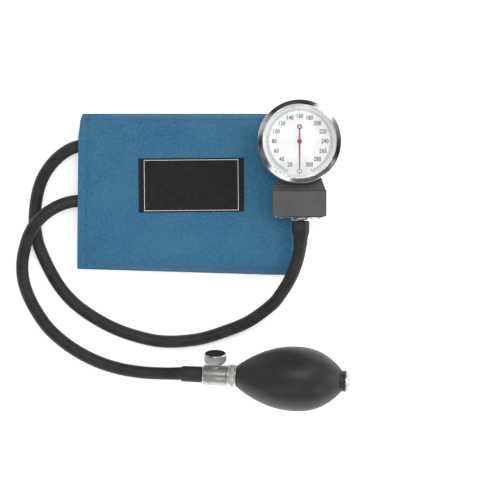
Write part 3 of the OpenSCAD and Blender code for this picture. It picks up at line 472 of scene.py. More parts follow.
# Node trees
def add(tree, kind, inputs=None, **options):
    """A node with its options set, and its inputs linked or set by name or number."""
    node = tree.nodes.new(kind)
    for name, value in options.items():
        setattr(node, name, value)
    for key, value in (inputs or {}).items():
        if isinstance(value, bpy.types.NodeSocket):
            tree.links.new(value, node.inputs[key])
        else:
            node.inputs[key].default_value = value
    return node


def math_node(tree, operation, a, b=0.0, clamp=False):
    return add(tree, "ShaderNodeMath", {0: a, 1: b}, operation=operation, use_clamp=clamp).outputs[0]


def blend_colour(tree, factor, a, b, kind="MIX"):
    inputs = {0: factor, 6: a, 7: b}
    return add(tree, "ShaderNodeMix", inputs, data_type="RGBA", blend_type=kind).outputs[2]


def stretch(tree, value, low, high, to_low=0.0, to_high=1.0):
    inputs = {"Value": value, "From Min": low, "From Max": high, "To Min": to_low, "To Max": to_high}
    return add(tree, "ShaderNodeMapRange", inputs).outputs[0]


def noise_value(tree, vector, scale, detail=3.0, roughness=0.55):
    inputs = {"Vector": vector, "Scale": scale, "Detail": detail, "Roughness": roughness}
    return add(tree, "ShaderNodeTexNoise", inputs).outputs[0]


def times(tree, value, factor):
    return math_node(tree, "MULTIPLY", value, factor)


def vector_of(tree, parts):
    """A vector whose parts are linked or set by number, and 0 where none is given."""
    return add(tree, "ShaderNodeCombineXYZ", parts).outputs[0]


def rgba(colour):
    return (colour[0], colour[1], colour[2], 1.0)


def toned(colour, factor, lift=0.0):
    """A darker or paler tone of a colour."""
    return [min(1.0, c * factor + lift) for c in colour]


def new_group(name, kind, inputs, outputs):
    """A node group with named sockets. Returns the group, its inputs' outlets and its outputs' inlets."""
    group = bpy.data.node_groups.new(name, kind)
    for label, socket_kind, value in inputs:
        socket = group.interface.new_socket(label, in_out="INPUT", socket_type=socket_kind)
        if value is not None:
            socket.default_value = value
    for label, socket_kind in outputs:
        group.interface.new_socket(label, in_out="OUTPUT", socket_type=socket_kind)
    entry = group.nodes.new("NodeGroupInput")
    leave = group.nodes.new("NodeGroupOutput")
    return group, entry.outputs, leave.inputs


def shared_tree(build):
    """The node group that a function builds, named after it and made when it is first asked for."""
    name = build.__name__.replace("_", " ").capitalize()
    return bpy.data.node_groups.get(name) or build(name)


def thread_weave(name):
    """Plain weave: threads over and under each other. Height is the cloth's relief and Gap the holes."""
    group, entry, leave = new_group(
        name, "ShaderNodeTree",
        [("Vector", "NodeSocketVector", None), ("Threads per metre", "NodeSocketFloat", 2000.0)],
        [("Height", "NodeSocketFloat"), ("Gap", "NodeSocketFloat")])
    scaled = add(group, "ShaderNodeVectorMath", {0: entry[0], 3: entry[1]}, operation="SCALE").outputs[0]
    parts = add(group, "ShaderNodeSeparateXYZ", {0: scaled}).outputs
    ridges = []
    cells = []
    for axis in range(2):
        part = math_node(group, "FRACT", parts[axis])
        rest = math_node(group, "SUBTRACT", 1.0, part)
        hump = times(group, part, rest)
        ridges.append(times(group, hump, 4.0))
        cells.append(math_node(group, "FLOOR", parts[axis]))
    over = math_node(group, "PINGPONG", math_node(group, "ADD", cells[0], cells[1]), 1.0)
    height = add(group, "ShaderNodeMix", {0: over, 2: ridges[0], 3: ridges[1]}, data_type="FLOAT").outputs[0]
    group.links.new(height, leave[0])
    lowest = times(group, ridges[0], ridges[1])
    group.links.new(stretch(group, lowest, 0.0, 0.25, 1.0, 0.0), leave[1])
    return group


def dye_mottle(name):
    """Uneven dye: broad cloudy patches and a fine speckle between three colours."""
    group, entry, leave = new_group(
        name, "ShaderNodeTree",
        [("Vector", "NodeSocketVector", None), ("Patches", "NodeSocketFloat", 40.0),
         ("Speckle", "NodeSocketFloat", 900.0), ("Colour", "NodeSocketColor", (0.5, 0.5, 0.5, 1)),
         ("Deep Colour", "NodeSocketColor", (0.4, 0.4, 0.4, 1)),
         ("Pale Colour", "NodeSocketColor", (0.6, 0.6, 0.6, 1))],
        [("Colour", "NodeSocketColor"), ("Patch", "NodeSocketFloat")])
    patch = stretch(group, noise_value(group, entry[0], entry[1], 5.0, 0.68), 0.38, 0.64)
    speck = stretch(group, noise_value(group, entry[0], entry[2], 2.0), 0.40, 0.68)
    cloudy = blend_colour(group, patch, entry[3], entry[4])
    dotted = blend_colour(group, times(group, speck, 0.6), cloudy, entry[5])
    group.links.new(dotted, leave[0])
    group.links.new(patch, leave[1])
    return group


def fine_grain(name):
    """Moulded or cast grain: small pits and soft waves. Height for the relief, Smudge for the roughness."""
    group, entry, leave = new_group(
        name, "ShaderNodeTree",
        [("Vector", "NodeSocketVector", None), ("Grain", "NodeSocketFloat", 1500.0),
         ("Waves", "NodeSocketFloat", 120.0)],
        [("Height", "NodeSocketFloat"), ("Smudge", "NodeSocketFloat")])
    grain = noise_value(group, entry[0], entry[1], 3.0)
    wave = noise_value(group, entry[0], entry[2], 2.0)
    height = math_node(group, "ADD", times(group, grain, 0.6), times(group, wave, 0.4))
    group.links.new(height, leave[0])
    group.links.new(stretch(group, wave, 0.3, 0.7), leave[1])
    return group


def edge_wear(name):
    """Mask of rubbed edges, broken up by noise."""
    group, entry, leave = new_group(
        name, "ShaderNodeTree",
        [("Vector", "NodeSocketVector", None), ("Break-up", "NodeSocketFloat", 600.0),
         ("Start", "NodeSocketFloat", 0.53)],
        [("Mask", "NodeSocketFloat")])
    point = add(group, "ShaderNodeNewGeometry").outputs["Pointiness"]
    above = math_node(group, "SUBTRACT", point, entry[2])
    edge = math_node(group, "MULTIPLY", above, 25.0, clamp=True)
    broken = stretch(group, noise_value(group, entry[0], entry[1], 4.0), 0.35, 0.65)
    group.links.new(times(group, edge, broken), leave[0])
    return group


def turning_marks(name):
    """Fine rings left by turning, round the Z of the vector. Height for relief, Streak for roughness."""
    group, entry, leave = new_group(
        name, "ShaderNodeTree",
        [("Vector", "NodeSocketVector", None), ("Rings per metre", "NodeSocketFloat", 5000.0)],
        [("Height", "NodeSocketFloat"), ("Streak", "NodeSocketFloat")])
    parts = add(group, "ShaderNodeSeparateXYZ", {0: entry[0]}).outputs
    flat = vector_of(group, {0: parts[0], 1: parts[1]})
    out = add(group, "ShaderNodeVectorMath", {0: flat}, operation="LENGTH").outputs["Value"]
    ring = vector_of(group, {0: out, 2: parts[2]})
    height = noise_value(group, ring, entry[1], 2.0)
    group.links.new(height, leave[0])
    group.links.new(stretch(group, height, 0.3, 0.7), leave[1])
    return group


def extruded_lines(name):
    """Long faint lines along the first UV direction, as on extruded rubber."""
    group, entry, leave = new_group(
        name, "ShaderNodeTree",
        [("Vector", "NodeSocketVector", None), ("Lines", "NodeSocketFloat", 900.0)],
        [("Height", "NodeSocketFloat")])
    inputs = {0: entry[0], 1: (0.02, 1.0, 1.0)}
    longer = add(group, "ShaderNodeVectorMath", inputs, operation="MULTIPLY").outputs[0]
    group.links.new(noise_value(group, longer, entry[1], 3.0), leave[0])
    return group


def use_group(tree, build, inputs):
    return add(tree, "ShaderNodeGroup", inputs, node_tree=shared_tree(build)).outputs


# Materials
def new_material(name, **values):
    """A material whose shader has these plain values. Returns it with its tree and its shader's inputs."""
    mat = bpy.data.materials.new(name)
    mat.use_nodes = True
    shader = mat.node_tree.nodes["Principled BSDF"]
    for key, value in values.items():
        shader.inputs[key.replace("_", " ")].default_value = value
    return mat, mat.node_tree, shader.inputs


def object_place(tree, turn=None):
    """Object coordinates, or those of a turned piece when its own place is given."""
    where = add(tree, "ShaderNodeTexCoord").outputs["Object"]
    if turn is None:
        return where
    back = turn.inverted()
    spin = back.to_euler()
    moved = add(tree, "ShaderNodeMapping", {
        "Vector": where, "Rotation": spin, "Location": back.to_translation() * MM, "Scale": (1, 1, 1)})
    return moved.outputs[0]


def cloth_place(tree):
    return add(tree, "ShaderNodeUVMap", uv_map="Cloth").outputs[0]


def relief(tree, shader, height, strength, distance):
    inputs = {"Height": height, "Strength": strength, "Distance": distance}
    tree.links.new(add(tree, "ShaderNodeBump", inputs).outputs[0], shader["Normal"])


def nylon(name, colour, threads, patch_scale, gap_shade=0.25):
    """Dyed woven nylon with thread relief, cloudy dye, painted shade in the holes between threads and a soft
    sheen.
    """
    mat, tree, shader = new_material(
        name, Sheen_Weight=0.12, Sheen_Roughness=0.4, Specular_IOR_Level=0.3)
    place = cloth_place(tree)
    body = object_place(tree)
    weave = use_group(tree, thread_weave, {"Vector": place, "Threads per metre": threads})
    deep = [c * k for c, k in zip(colour, (0.74, 0.80, 0.92))]
    pale = [min(1.0, c * k) for c, k in zip(colour, (1.6, 1.4, 1.2))]
    dyed = use_group(tree, dye_mottle, {
        "Vector": body, "Patches": patch_scale, "Speckle": 620.0, "Colour": rgba(colour),
        "Deep Colour": rgba(deep), "Pale Colour": rgba(pale)})
    # Darker where the weave has holes between threads: painted shade.
    dark = blend_colour(tree, 1.0, dyed[0], (0.55, 0.6, 0.65, 1), "MULTIPLY")
    shade = times(tree, weave[1], gap_shade)
    tree.links.new(blend_colour(tree, shade, dyed[0], dark), shader["Base Color"])
    tree.links.new(stretch(tree, dyed[1], 0.0, 1.0, 0.72, 0.86), shader["Roughness"])
    relief(tree, shader, weave[0], 0.5, 0.00012)
    return mat


def pile(name, colour, scale, height):
    """Fastening fabric: a dense field of loops or hooks, paler on the tufts and darker in the hollows
    between them as painted shade.
    """
    mat, tree, shader = new_material(name, Sheen_Weight=0.5, Sheen_Roughness=0.6, Specular_IOR_Level=0.2)
    body = object_place(tree)
    tuft = add(tree, "ShaderNodeTexVoronoi", {"Vector": body, "Scale": scale, "Randomness": 0.6}).outputs[0]
    tone = noise_value(tree, body, 90.0, 4.0)
    pale = toned(colour, 2.2, 0.01)
    # Paler tufts and darker gaps follow the relief: painted shade in the pile's hollows.
    tint = blend_colour(tree, stretch(tree, tuft, 0.1, 0.7), rgba(pale), rgba(colour))
    worn = blend_colour(tree, stretch(tree, tone, 0.4, 0.7, 0.0, 0.5), tint, rgba(toned(colour, 0.6)))
    tree.links.new(worn, shader["Base Color"])
    tree.links.new(stretch(tree, tone, 0.3, 0.7, 0.8, 0.95), shader["Roughness"])
    relief(tree, shader, stretch(tree, tuft, 0.0, 0.8, 1.0, 0.0), 0.9, height)
    return mat


def rubber(name, colour, roughness, grain, bloom=0.15):
    """Moulded rubber: fine grain, cloudy bloom and paler rubbed edges."""
    mat, tree, shader = new_material(name, Specular_IOR_Level=0.45)
    body = object_place(tree)
    fine = use_group(tree, fine_grain, {"Vector": body, "Grain": grain, "Waves": 70.0})
    pale = toned(colour, 1.8, 0.012)
    dull = noise_value(tree, body, 45.0, 5.0, 0.6)
    dusty = blend_colour(tree, stretch(tree, dull, 0.4, 0.75, 0.0, bloom * 3), rgba(colour), rgba(pale))
    rubbed = use_group(tree, edge_wear, {"Vector": body, "Break-up": 500.0, "Start": 0.53})
    part = times(tree, rubbed[0], 0.5)
    tree.links.new(blend_colour(tree, part, dusty, rgba(pale)), shader["Base Color"])
    tree.links.new(stretch(tree, fine[1], 0.0, 1.0, roughness - 0.05, roughness + 0.07), shader["Roughness"])
    relief(tree, shader, fine[0], 0.35, 0.00006)
    return mat


def hose_rubber(name, colour):
    """Extruded rubber: faint lines along the hose, with little shine."""
    mat, tree, shader = new_material(name, Specular_IOR_Level=0.25)
    along = cloth_place(tree)
    body = object_place(tree)
    lines = use_group(tree, extruded_lines, {"Vector": along, "Lines": 1400.0})
    fine = use_group(tree, fine_grain, {"Vector": body, "Grain": 2200.0, "Waves": 90.0})
    pale = toned(colour, 1.7, 0.01)
    tint = blend_colour(tree, stretch(tree, fine[1], 0.2, 1.0, 0.0, 0.5), rgba(colour), rgba(pale))
    tree.links.new(tint, shader["Base Color"])
    tree.links.new(stretch(tree, fine[1], 0.0, 1.0, 0.42, 0.54), shader["Roughness"])
    both = math_node(tree, "ADD", lines[0], times(tree, fine[0], 0.6))
    relief(tree, shader, both, 0.3, 0.00006)
    return mat


def metal(name, colour, roughness, marks=0.0, turn=None, worn=0.15, pitch=5000.0):
    """Polished, plated or satin metal: turning marks, smudges and brighter rubbed edges."""
    mat, tree, shader = new_material(name, Metallic=1.0)
    body = object_place(tree, turn)
    rings = use_group(tree, turning_marks, {"Vector": body, "Rings per metre": pitch})
    fine = use_group(tree, fine_grain, {"Vector": body, "Grain": 2500.0, "Waves": 160.0})
    dirt = stretch(tree, fine[1], 0.0, 1.0, 0.0, 0.6)
    tint = blend_colour(tree, dirt, rgba(colour), rgba(toned(colour, 0.82)))
    rubbed = use_group(tree, edge_wear, {"Vector": body, "Break-up": 700.0, "Start": 0.52})
    part = times(tree, rubbed[0], worn * 3)
    bright = toned(colour, 1.15, 0.03)
    tree.links.new(blend_colour(tree, part, tint, rgba(bright)), shader["Base Color"])
    uneven = math_node(tree, "ADD", times(tree, rings[1], marks), fine[1])
    spread = 0.35 * roughness
    rough = stretch(tree, uneven, 0.0, 1.0 + marks, roughness - spread, roughness + spread)
    tree.links.new(rough, shader["Roughness"])
    both = math_node(tree, "ADD", times(tree, rings[0], marks), times(tree, fine[0], 0.15))
    relief(tree, shader, both, 0.25, 0.00003)
    return mat


def hard_coat(name, colour, roughness, grain, gloss=0.0, worn_colour=None, shine=0.45):
    """Moulded plastic, enamel or lacquer, with grain and rubbed edges."""
    mat, tree, shader = new_material(name, Coat_Roughness=0.12, Specular_IOR_Level=shine)
    body = object_place(tree)
    fine = use_group(tree, fine_grain, {"Vector": body, "Grain": grain, "Waves": 60.0})
    tint = blend_colour(tree, fine[1], rgba(colour), rgba(toned(colour, 0.86)))
    rubbed = use_group(tree, edge_wear, {"Vector": body, "Break-up": 400.0, "Start": 0.53})
    shown = worn_colour or toned(colour, 1.8, 0.02)
    part = times(tree, rubbed[0], 0.6)
    tree.links.new(blend_colour(tree, part, tint, rgba(shown)), shader["Base Color"])
    tree.links.new(stretch(tree, fine[1], 0.0, 1.0, roughness - 0.06, roughness + 0.06), shader["Roughness"])
    if gloss:
        tree.links.new(stretch(tree, fine[1], 0.0, 1.0, gloss, gloss * 0.8), shader["Coat Weight"])
    relief(tree, shader, fine[0], 0.4, 0.00005)
    return mat


def crystal_glass(name):
    """Clear crystal with faint smudges, which lets light through to the dial."""
    mat, tree, shader = new_material(name, Transmission_Weight=1.0, IOR=1.45)
    body = object_place(tree)
    fine = use_group(tree, fine_grain, {"Vector": body, "Grain": 700.0, "Waves": 60.0})
    tint = blend_colour(tree, fine[1], (0.97, 0.98, 0.98, 1), (0.94, 0.96, 0.96, 1))
    tree.links.new(tint, shader["Base Color"])
    tree.links.new(stretch(tree, fine[1], 0.0, 1.0, 0.0, 0.02), shader["Roughness"])
    out = tree.nodes["Material Output"]
    clear = add(tree, "ShaderNodeBsdfTransparent", {0: (0.96, 0.97, 0.97, 1)}).outputs[0]
    shadow = add(tree, "ShaderNodeLightPath").outputs["Is Shadow Ray"]
    solid = tree.nodes["Principled BSDF"].outputs[0]
    mixed = add(tree, "ShaderNodeMixShader", {0: shadow, 1: solid, 2: clear}).outputs[0]
    tree.links.new(mixed, out.inputs["Surface"])
    return mat


def sewing_thread(name, colour):
    """Twisted thread with a slight shine."""
    mat, tree, shader = new_material(name, Sheen_Weight=0.3, Specular_IOR_Level=0.35)
    body = object_place(tree)
    twist = noise_value(tree, body, 2600.0, 2.0)
    pale = toned(colour, 1.5, 0.01)
    tint = blend_colour(tree, stretch(tree, twist, 0.35, 0.65), rgba(toned(colour, 0.8)), rgba(pale))
    tree.links.new(tint, shader["Base Color"])
    tree.links.new(stretch(tree, twist, 0.3, 0.7, 0.5, 0.7), shader["Roughness"])
    relief(tree, shader, twist, 0.6, 0.00008)
    return mat


def printing_ink(name, colour):
    """Flat printing ink, slightly uneven."""
    mat, tree, shader = new_material(name, Specular_IOR_Level=0.3)
    body = object_place(tree)
    dots = noise_value(tree, body, 3000.0, 2.0)
    pale = toned(colour, 1.6, 0.01)
    tint = blend_colour(tree, stretch(tree, dots, 0.4, 0.8), rgba(colour), rgba(pale))
    tree.links.new(tint, shader["Base Color"])
    tree.links.new(stretch(tree, dots, 0.3, 0.7, 0.4, 0.5), shader["Roughness"])
    return mat


def studio_paper(name, colour):
    """Pale paper on a light table, lit a little from below."""
    mat, tree, shader = new_material(
        name, Specular_IOR_Level=0.1, Emission_Color=(1, 1, 1, 1), Emission_Strength=0.34)
    body = object_place(tree)
    cloud = noise_value(tree, body, 3.0, 2.0)
    tint = blend_colour(tree, cloud, rgba(colour), rgba(toned(colour, 0.985)))
    tree.links.new(tint, shader["Base Color"])
    tree.links.new(stretch(tree, cloud, 0.0, 1.0, 0.85, 0.95), shader["Roughness"])
    return mat


def finish_of(slot):
    """The material of one of the record's slots, made when it is first asked for."""
    name = "finish_" + slot
    scene = bpy.context.scene
    cuff = scene.cuff_look
    label = scene.label_look
    gauge = scene.gauge_look
    nickel = scene.valve_look.nickel_colour
    black = (0.010, 0.010, 0.013)
    steel = (0.56, 0.57, 0.58)
    makers = {
        "cuff_cloth": lambda: nylon(name, cuff.cloth_colour, 2300.0, 28.0),
        "cuff_lining": lambda: nylon(name, toned(cuff.cloth_colour, 0.92), 2300.0, 40.0),
        "bladder_rubber": lambda: rubber(name, (0.016, 0.016, 0.018), 0.62, 1800.0, 0.3),
        "loop_fabric": lambda: pile(name, black, 1400.0, 0.0006),
        "hook_fabric": lambda: pile(name, black, 1000.0, 0.0009),
        "label_cloth": lambda: nylon(name, label.ground_colour, 2600.0, 60.0, 0.5),
        "strap_webbing": lambda: nylon(name, (0.014, 0.014, 0.017), 900.0, 60.0, 0.6),
        "hose_rubber": lambda: hose_rubber(name, scene.hose_look.colour),
        "case_plastic": lambda: hard_coat(name, gauge.case_colour, 0.5, 2600.0),
        "bezel_chrome": lambda: metal(name, (0.86, 0.86, 0.865), 0.17, 0.1, GAUGE, 0.1),
        "crystal_glass": lambda: crystal_glass(name),
        "seal_rubber": lambda: rubber(name, (0.012, 0.012, 0.013), 0.55, 2000.0),
        "dial_ring_plastic": lambda: hard_coat(name, (0.82, 0.81, 0.81), 0.4, 1500.0),
        "dial_enamel": lambda: hard_coat(name, (0.78, 0.77, 0.765), 0.35, 1200.0, 0.3, (0.8, 0.8, 0.8)),
        "pointer_paint": lambda: hard_coat(name, gauge.pointer_colour, 0.35, 1500.0, 0.4),
        "movement_steel": lambda: metal(name, steel, 0.25, 0.6, GAUGE),
        "spring_bronze": lambda: metal(name, (0.55, 0.36, 0.2), 0.3, 0.3, GAUGE),
        "movement_brass": lambda: metal(name, (0.72, 0.52, 0.24), 0.28, 0.6, GAUGE),
        "capsule_bronze": lambda: metal(name, (0.62, 0.42, 0.25), 0.3, 0.8, GAUGE),
        "screw_steel": lambda: metal(name, (0.6, 0.6, 0.61), 0.22, 0.5),
        "hook_steel": lambda: metal(name, (0.6, 0.61, 0.62), 0.3, 0.2),
        "fitting_chrome": lambda: metal(name, (0.70, 0.70, 0.71), 0.18, 0.3),
        "cap_silver": lambda: metal(name, (0.52, 0.52, 0.52), 0.3, 0.2),
        "valve_nickel": lambda: metal(name, nickel, 0.45, 0.4, BULB, 0.2, 4000.0),
        "collar_nickel": lambda: metal(name, toned(nickel, 1.45), 0.48, 0.3, BULB, 0.2, 4000.0),
        "knob_chrome": lambda: metal(name, (0.66, 0.66, 0.67), 0.42, 0.3, KNOB, 0.2, 3500.0),
        "bulb_rubber": lambda: rubber(name, scene.bulb_look.colour, 0.43, 1500.0, 0.1),
    }
    return bpy.data.materials.get(name) or makers[slot]()


def dress(*nodes):
    """CAD nodes whose shape stays get their slot's finish."""
    slots = {part["node"]: part["material_slot"] for part in frame["record"]["subparts"]}
    for name in nodes:
        for place in frame["nodes"][name].material_slots:
            place.material = finish_of(slots[name])


# Geometry Nodes: what repeats round a ring or along a seam
def set_down(group, leave, points, instance, rotation, material):
    """Puts an instance on every point, as real geometry of one material."""
    inputs = {"Points": points, "Instance": instance, "Rotation": rotation}
    placed = add(group, "GeometryNodeInstanceOnPoints", inputs).outputs[0]
    real = add(group, "GeometryNodeRealizeInstances", {0: placed}).outputs[0]
    done = add(group, "GeometryNodeSetMaterial", {"Geometry": real, "Material": material}).outputs[0]
    group.links.new(done, leave)


def marks_round_a_ring(name):
    """Repeats its own geometry round Z."""
    group, entry, leave = new_group(
        name, "GeometryNodeTree",
        [("Geometry", "NodeSocketGeometry", None), ("Count", "NodeSocketInt", 12),
         ("Start", "NodeSocketFloat", 0.0), ("Step", "NodeSocketFloat", 0.1),
         ("Material", "NodeSocketMaterial", None)],
        [("Geometry", "NodeSocketGeometry")])
    index = add(group, "GeometryNodeInputIndex").outputs[0]
    turn = math_node(group, "ADD", times(group, index, entry["Step"]), entry["Start"])
    spin = vector_of(group, {2: turn})
    points = add(group, "GeometryNodePoints", {"Count": entry["Count"]}).outputs[0]
    set_down(group, leave[0], points, entry["Geometry"], spin, entry["Material"])
    return group


def thread_stitch(group, stitch, thread, arch):
    """One arched stitch with its length along X."""
    half = times(group, stitch, 0.5)
    back = times(group, half, -1.0)
    start = vector_of(group, {0: back})
    top = vector_of(group, {2: arch})
    end = vector_of(group, {0: half})
    inputs = {"Resolution": 5, "Start": start, "Middle": top, "End": end}
    arc = add(group, "GeometryNodeCurveQuadraticBezier", inputs).outputs[0]
    inputs = {"Resolution": 6, "Radius": thread}
    ring = add(group, "GeometryNodeCurvePrimitiveCircle", inputs).outputs[0]
    inputs = {"Curve": arc, "Profile Curve": ring, "Fill Caps": True}
    return add(group, "GeometryNodeCurveToMesh", inputs).outputs[0]


def stitches_on_a_seam(name):
    """Lays arched thread stitches along the edges of its geometry."""
    sway = 0.09
    group, entry, leave = new_group(
        name, "GeometryNodeTree",
        [("Geometry", "NodeSocketGeometry", None), ("Pitch", "NodeSocketFloat", 0.0026),
         ("Stitch", "NodeSocketFloat", 0.0019), ("Thread", "NodeSocketFloat", 0.00018),
         ("Arch", "NodeSocketFloat", 0.0005), ("Seed", "NodeSocketInt", 7),
         ("Material", "NodeSocketMaterial", None)],
        [("Geometry", "NodeSocketGeometry")])
    line = add(group, "GeometryNodeMeshToCurve", {"Mesh": entry["Geometry"]}).outputs[0]
    inputs = {"Curve": line, "Length": entry["Pitch"]}
    marks = add(group, "GeometryNodeResampleCurve", inputs, mode="LENGTH").outputs[0]
    stitch = thread_stitch(group, entry["Stitch"], entry["Thread"], entry["Arch"])
    tangent = {"Vector": add(group, "GeometryNodeInputTangent").outputs[0]}
    level = add(group, "FunctionNodeAlignRotationToVector", tangent, axis="X", pivot_axis="Z").outputs[0]
    inputs = {2: -sway, 3: sway, "Seed": entry["Seed"]}
    turn = add(group, "FunctionNodeRandomValue", inputs, data_type="FLOAT").outputs[1]
    swayed = add(group, "FunctionNodeRotateRotation", {0: level, 1: vector_of(group, {2: turn})}).outputs[0]
    set_down(group, leave[0], marks, stitch, swayed, entry["Material"])
    return group


def run_nodes(obj, build, values):
    """Runs a tree on an object with these inputs, and leaves what it makes as a plain mesh."""
    tree = shared_tree(build)
    modifier = obj.modifiers.new("Repeats", "NODES")
    modifier.node_group = tree
    inputs = {item.name: item.identifier for item in tree.interface.items_tree if item.in_out == "INPUT"}
    for label, value in values.items():
        modifier[inputs[label]] = value
    made = finished_mesh(obj)
    made.name = obj.name
    obj.modifiers.clear()
    obj.data = made


def repeated(obj, count, start, step, material, place):
    """Repeats a mark, drawn in millimetres, round Z in degrees, and puts the ring in place."""
    run_nodes(obj, marks_round_a_ring, {
        "Count": count, "Start": math.radians(start), "Step": math.radians(step), "Material": material})
    obj.data.transform(place)
    return obj


def sewn_line(name, points, material, pitch, thread=0.00018, share=0.74, arch=0.0005, closed=False):
    """A row of stitches along points in metres."""
    edges = [(k, k + 1) for k in range(len(points) - 1)]
    if closed:
        edges.append((len(points) - 1, 0))
    mesh = bpy.data.meshes.new(name)
    mesh.from_pydata([tuple(p) for p in points], edges, [])
    obj = linked(name, mesh)
    run_nodes(obj, stitches_on_a_seam, {
        "Pitch": pitch, "Stitch": pitch * share, "Thread": thread, "Arch": arch, "Material": material})
    obj.data.shade_smooth()
    return obj


# Hoses
def through(route, parts=6):
    """Points of one smooth curve through the route's points, and where each lies on the route."""
    points = []
    for i in range(len(route) - 1):
        a = Vector(route[max(i - 1, 0)])
        b = Vector(route[i])
        c = Vector(route[i + 1])
        d = Vector(route[min(i + 2, len(route) - 1)])
        for k in range(parts):
            t = k / parts
            point = 0.5 * (2 * b + (c - a) * t + (2 * a - 5 * b + 4 * c - d) * t * t
                           + (3 * b - a - 3 * c + d) * t ** 3)
            points.append((point, i + t))
    points.append((Vector(route[-1]), len(route) - 1.0))
    return points


def eased(points, first=5, last=50, passes=24):
    """Evens out the bends where the hose leaves the cuff. Its exit and the rest of its route stay."""
    for _ in range(passes):
        middle = [(points[k - 1] + 2 * points[k] + points[k + 1]) / 4 for k in range(first, last)]
        points = points[:first] + middle + points[last:]
    return points


def hose_radius(at, count, radius, sleeve):
    """Radius at a place on the route: the last rings stretch over the fitting."""
    sizes = [radius, *sleeve]
    first = count - len(sizes)
    if at <= first:
        return radius
    k = min(int(at - first), len(sizes) - 2)
    return sizes[k] + (sizes[k + 1] - sizes[k]) * smooth(at - first - k)


def hose_rows(path, radii):
    """Middle, side, up and radius of each ring of a hose, with a rounded lip and a mouth at its end."""
    mouth = 0.0032
    mouth_depth = 0.004
    lip = 0.0007
    rows = []
    side = None
    for k, (point, r) in enumerate(zip(path, radii)):
        ahead = (path[min(k + 1, len(path) - 1)] - path[max(k - 1, 0)]).normalized()
        if side is None:
            side = Vector((0, 0, 1)).cross(ahead)
        else:
            side = side - ahead * side.dot(ahead)
        side.normalize()
        rows.append((point, side, ahead.cross(side), r))
    point, side, up, r = rows[-1]
    ahead = side.cross(up)
    rows[-1] = (point - ahead * lip, side, up, r)
    inside = point - ahead * mouth_depth
    return rows + [(point, side, up, r - lip), (point, side, up, mouth), (inside, side, up, mouth)]


def wrap_map(obj, along, sides, girth):
    """A UV map in metres along a tube and round it."""
    layer = obj.data.uv_layers.new(name="Cloth")
    for poly in obj.data.polygons:
        places = [obj.data.loops[i].vertex_index % sides for i in poly.loop_indices]
        wraps = max(places) - min(places) > sides / 2
        for i in poly.loop_indices:
            row, spot = divmod(obj.data.loops[i].vertex_index, sides)
            if wraps and spot < sides / 2:
                spot += sides
            layer.data[i].uv = (along[row], spot / sides * girth)


def make_hose(name, route, sleeve, node):
    """One rubber hose along its route, wider where it is pushed over its fitting."""
    look = bpy.context.scene.hose_look
    sides = 28
    line = through(route)
    path = eased([point for point, at in line])
    length = sum((b - a).length for a, b in zip(path, path[1:]))
    radii = [hose_radius(at, len(route), look.diameter / 2, sleeve) for point, at in line]
    rows = hose_rows(path, radii)
    rings = []
    for point, side, up, r in rows:
        turns = [2 * math.pi * i / sides for i in range(sides)]
        rings.append([point + r * (math.cos(a) * side + math.sin(a) * up) for a in turns])
    obj = loft(name, rings, finish_of("hose_rubber"), crease=50)
    wrap_map(obj, distances([row[0] for row in rows]), sides, math.pi * look.diameter)
    stand_for(obj, "hose_rubber", node)


class PRESSURE_OT_hoses(bpy.types.Operator):
    """Two rubber hoses, from the bladder to the gauge and to the release valve"""

    bl_idname = "pressure.hoses"
    bl_label = "Hoses"

    def execute(self, context):
        make_hose("gauge_hose_rubber", GAUGE_ROUTE, GAUGE_SLEEVE, "gauge_hose")
        make_hose("bulb_hose_rubber", BULB_ROUTE, BULB_SLEEVE, "bulb_hose")
        return {"FINISHED"}


# Folded cloth of the cuff
HEM_LINE = 6.6
EDGE_LINE = 0.93
FOLD_ZONE = 0.93
NYLON_T = CLOTH_T * MM * 0.97


def plan(s, v):
    """Plan of the cuff: s from the hem to the fold, v from the lower edge at -1 to the upper at 1."""
    cut = 1.2 * smooth((v - 0.66) / 0.25) + 1.7 * smooth((v - 0.9) / 0.1)
    hem = HEM_X + HEM_INSET * (1 + v) / 2 + cut * max(0.0, 1 - 6 * s) ** 2
    fold = HEM_X + PANEL_L - CUFF_LEAN * (1 - v) / 2
    return hem + (fold - hem) * s, CUFF_TOP_Y - (1 - v) / 2 * (CUFF_W + CUFF_FLARE * s)


def plan_shares(x, y):
    """The shares s and v of a place in millimetres, on a cuff without its flare and lean."""
    return (x - HEM_X) / PANEL_L, 1 - 2 * (CUFF_TOP_Y - y) / CUFF_W


def top_height(s, v):
    """Height of the top panel in millimetres: a full crown, with a flatter mouth at the hem."""
    crown = 1 - abs(v) ** 12
    mouth = smooth((v + 1) / 0.7) * smooth((1 - v) / 0.24)
    k = smooth(s * PANEL_L / 40)
    return EDGE_Z + (CROWN_Z - EDGE_Z) * (crown * k + mouth * (1 - k))


def cloth_row(s, height, across):
    """One row of cloth points in metres. Height gives millimetres for each v."""
    row = []
    for v in across:
        x, y = plan(s, v)
        row.append(Vector((x, y, height(v))) * MM)
    return row


def left_fold_rows(radius, across):
    middle = (MIDDLE_Z + BOTTOM_TOP_Z) / 2
    rows = []
    for a in steps(90, 270, 10):
        out, up = around(radius, a)
        s = (LEFT_FOLD_INSET + LEFT_FOLD_R + out) / PANEL_L
        rows.append(cloth_row(s, lambda v, h=middle + up: h, across))
    return rows


def hem_relief(s, v):
    """Folded-back hem, its row of stitches, and the seams along both long edges, in millimetres."""
    x = s * PANEL_L
    turned = 0.45 * (1 - smooth((x - HEM_LINE + 0.8) / 0.8))
    wave = noise.noise(Vector((0, v * 9.0, 3.1)))
    sunk = (0.55 + 0.35 * wave) * math.exp(-((x - HEM_LINE) / 1.1) ** 2)
    edge = (abs(v) - EDGE_LINE) * CUFF_W / 2
    seam = (0.35 + 0.25 * noise.noise(Vector((x * 0.11, v, 8.2)))) * math.exp(-(edge / 1.2) ** 2)
    round_off = 0.9 * smooth((abs(v) - 0.965) / 0.035)
    return turned - sunk - seam - round_off


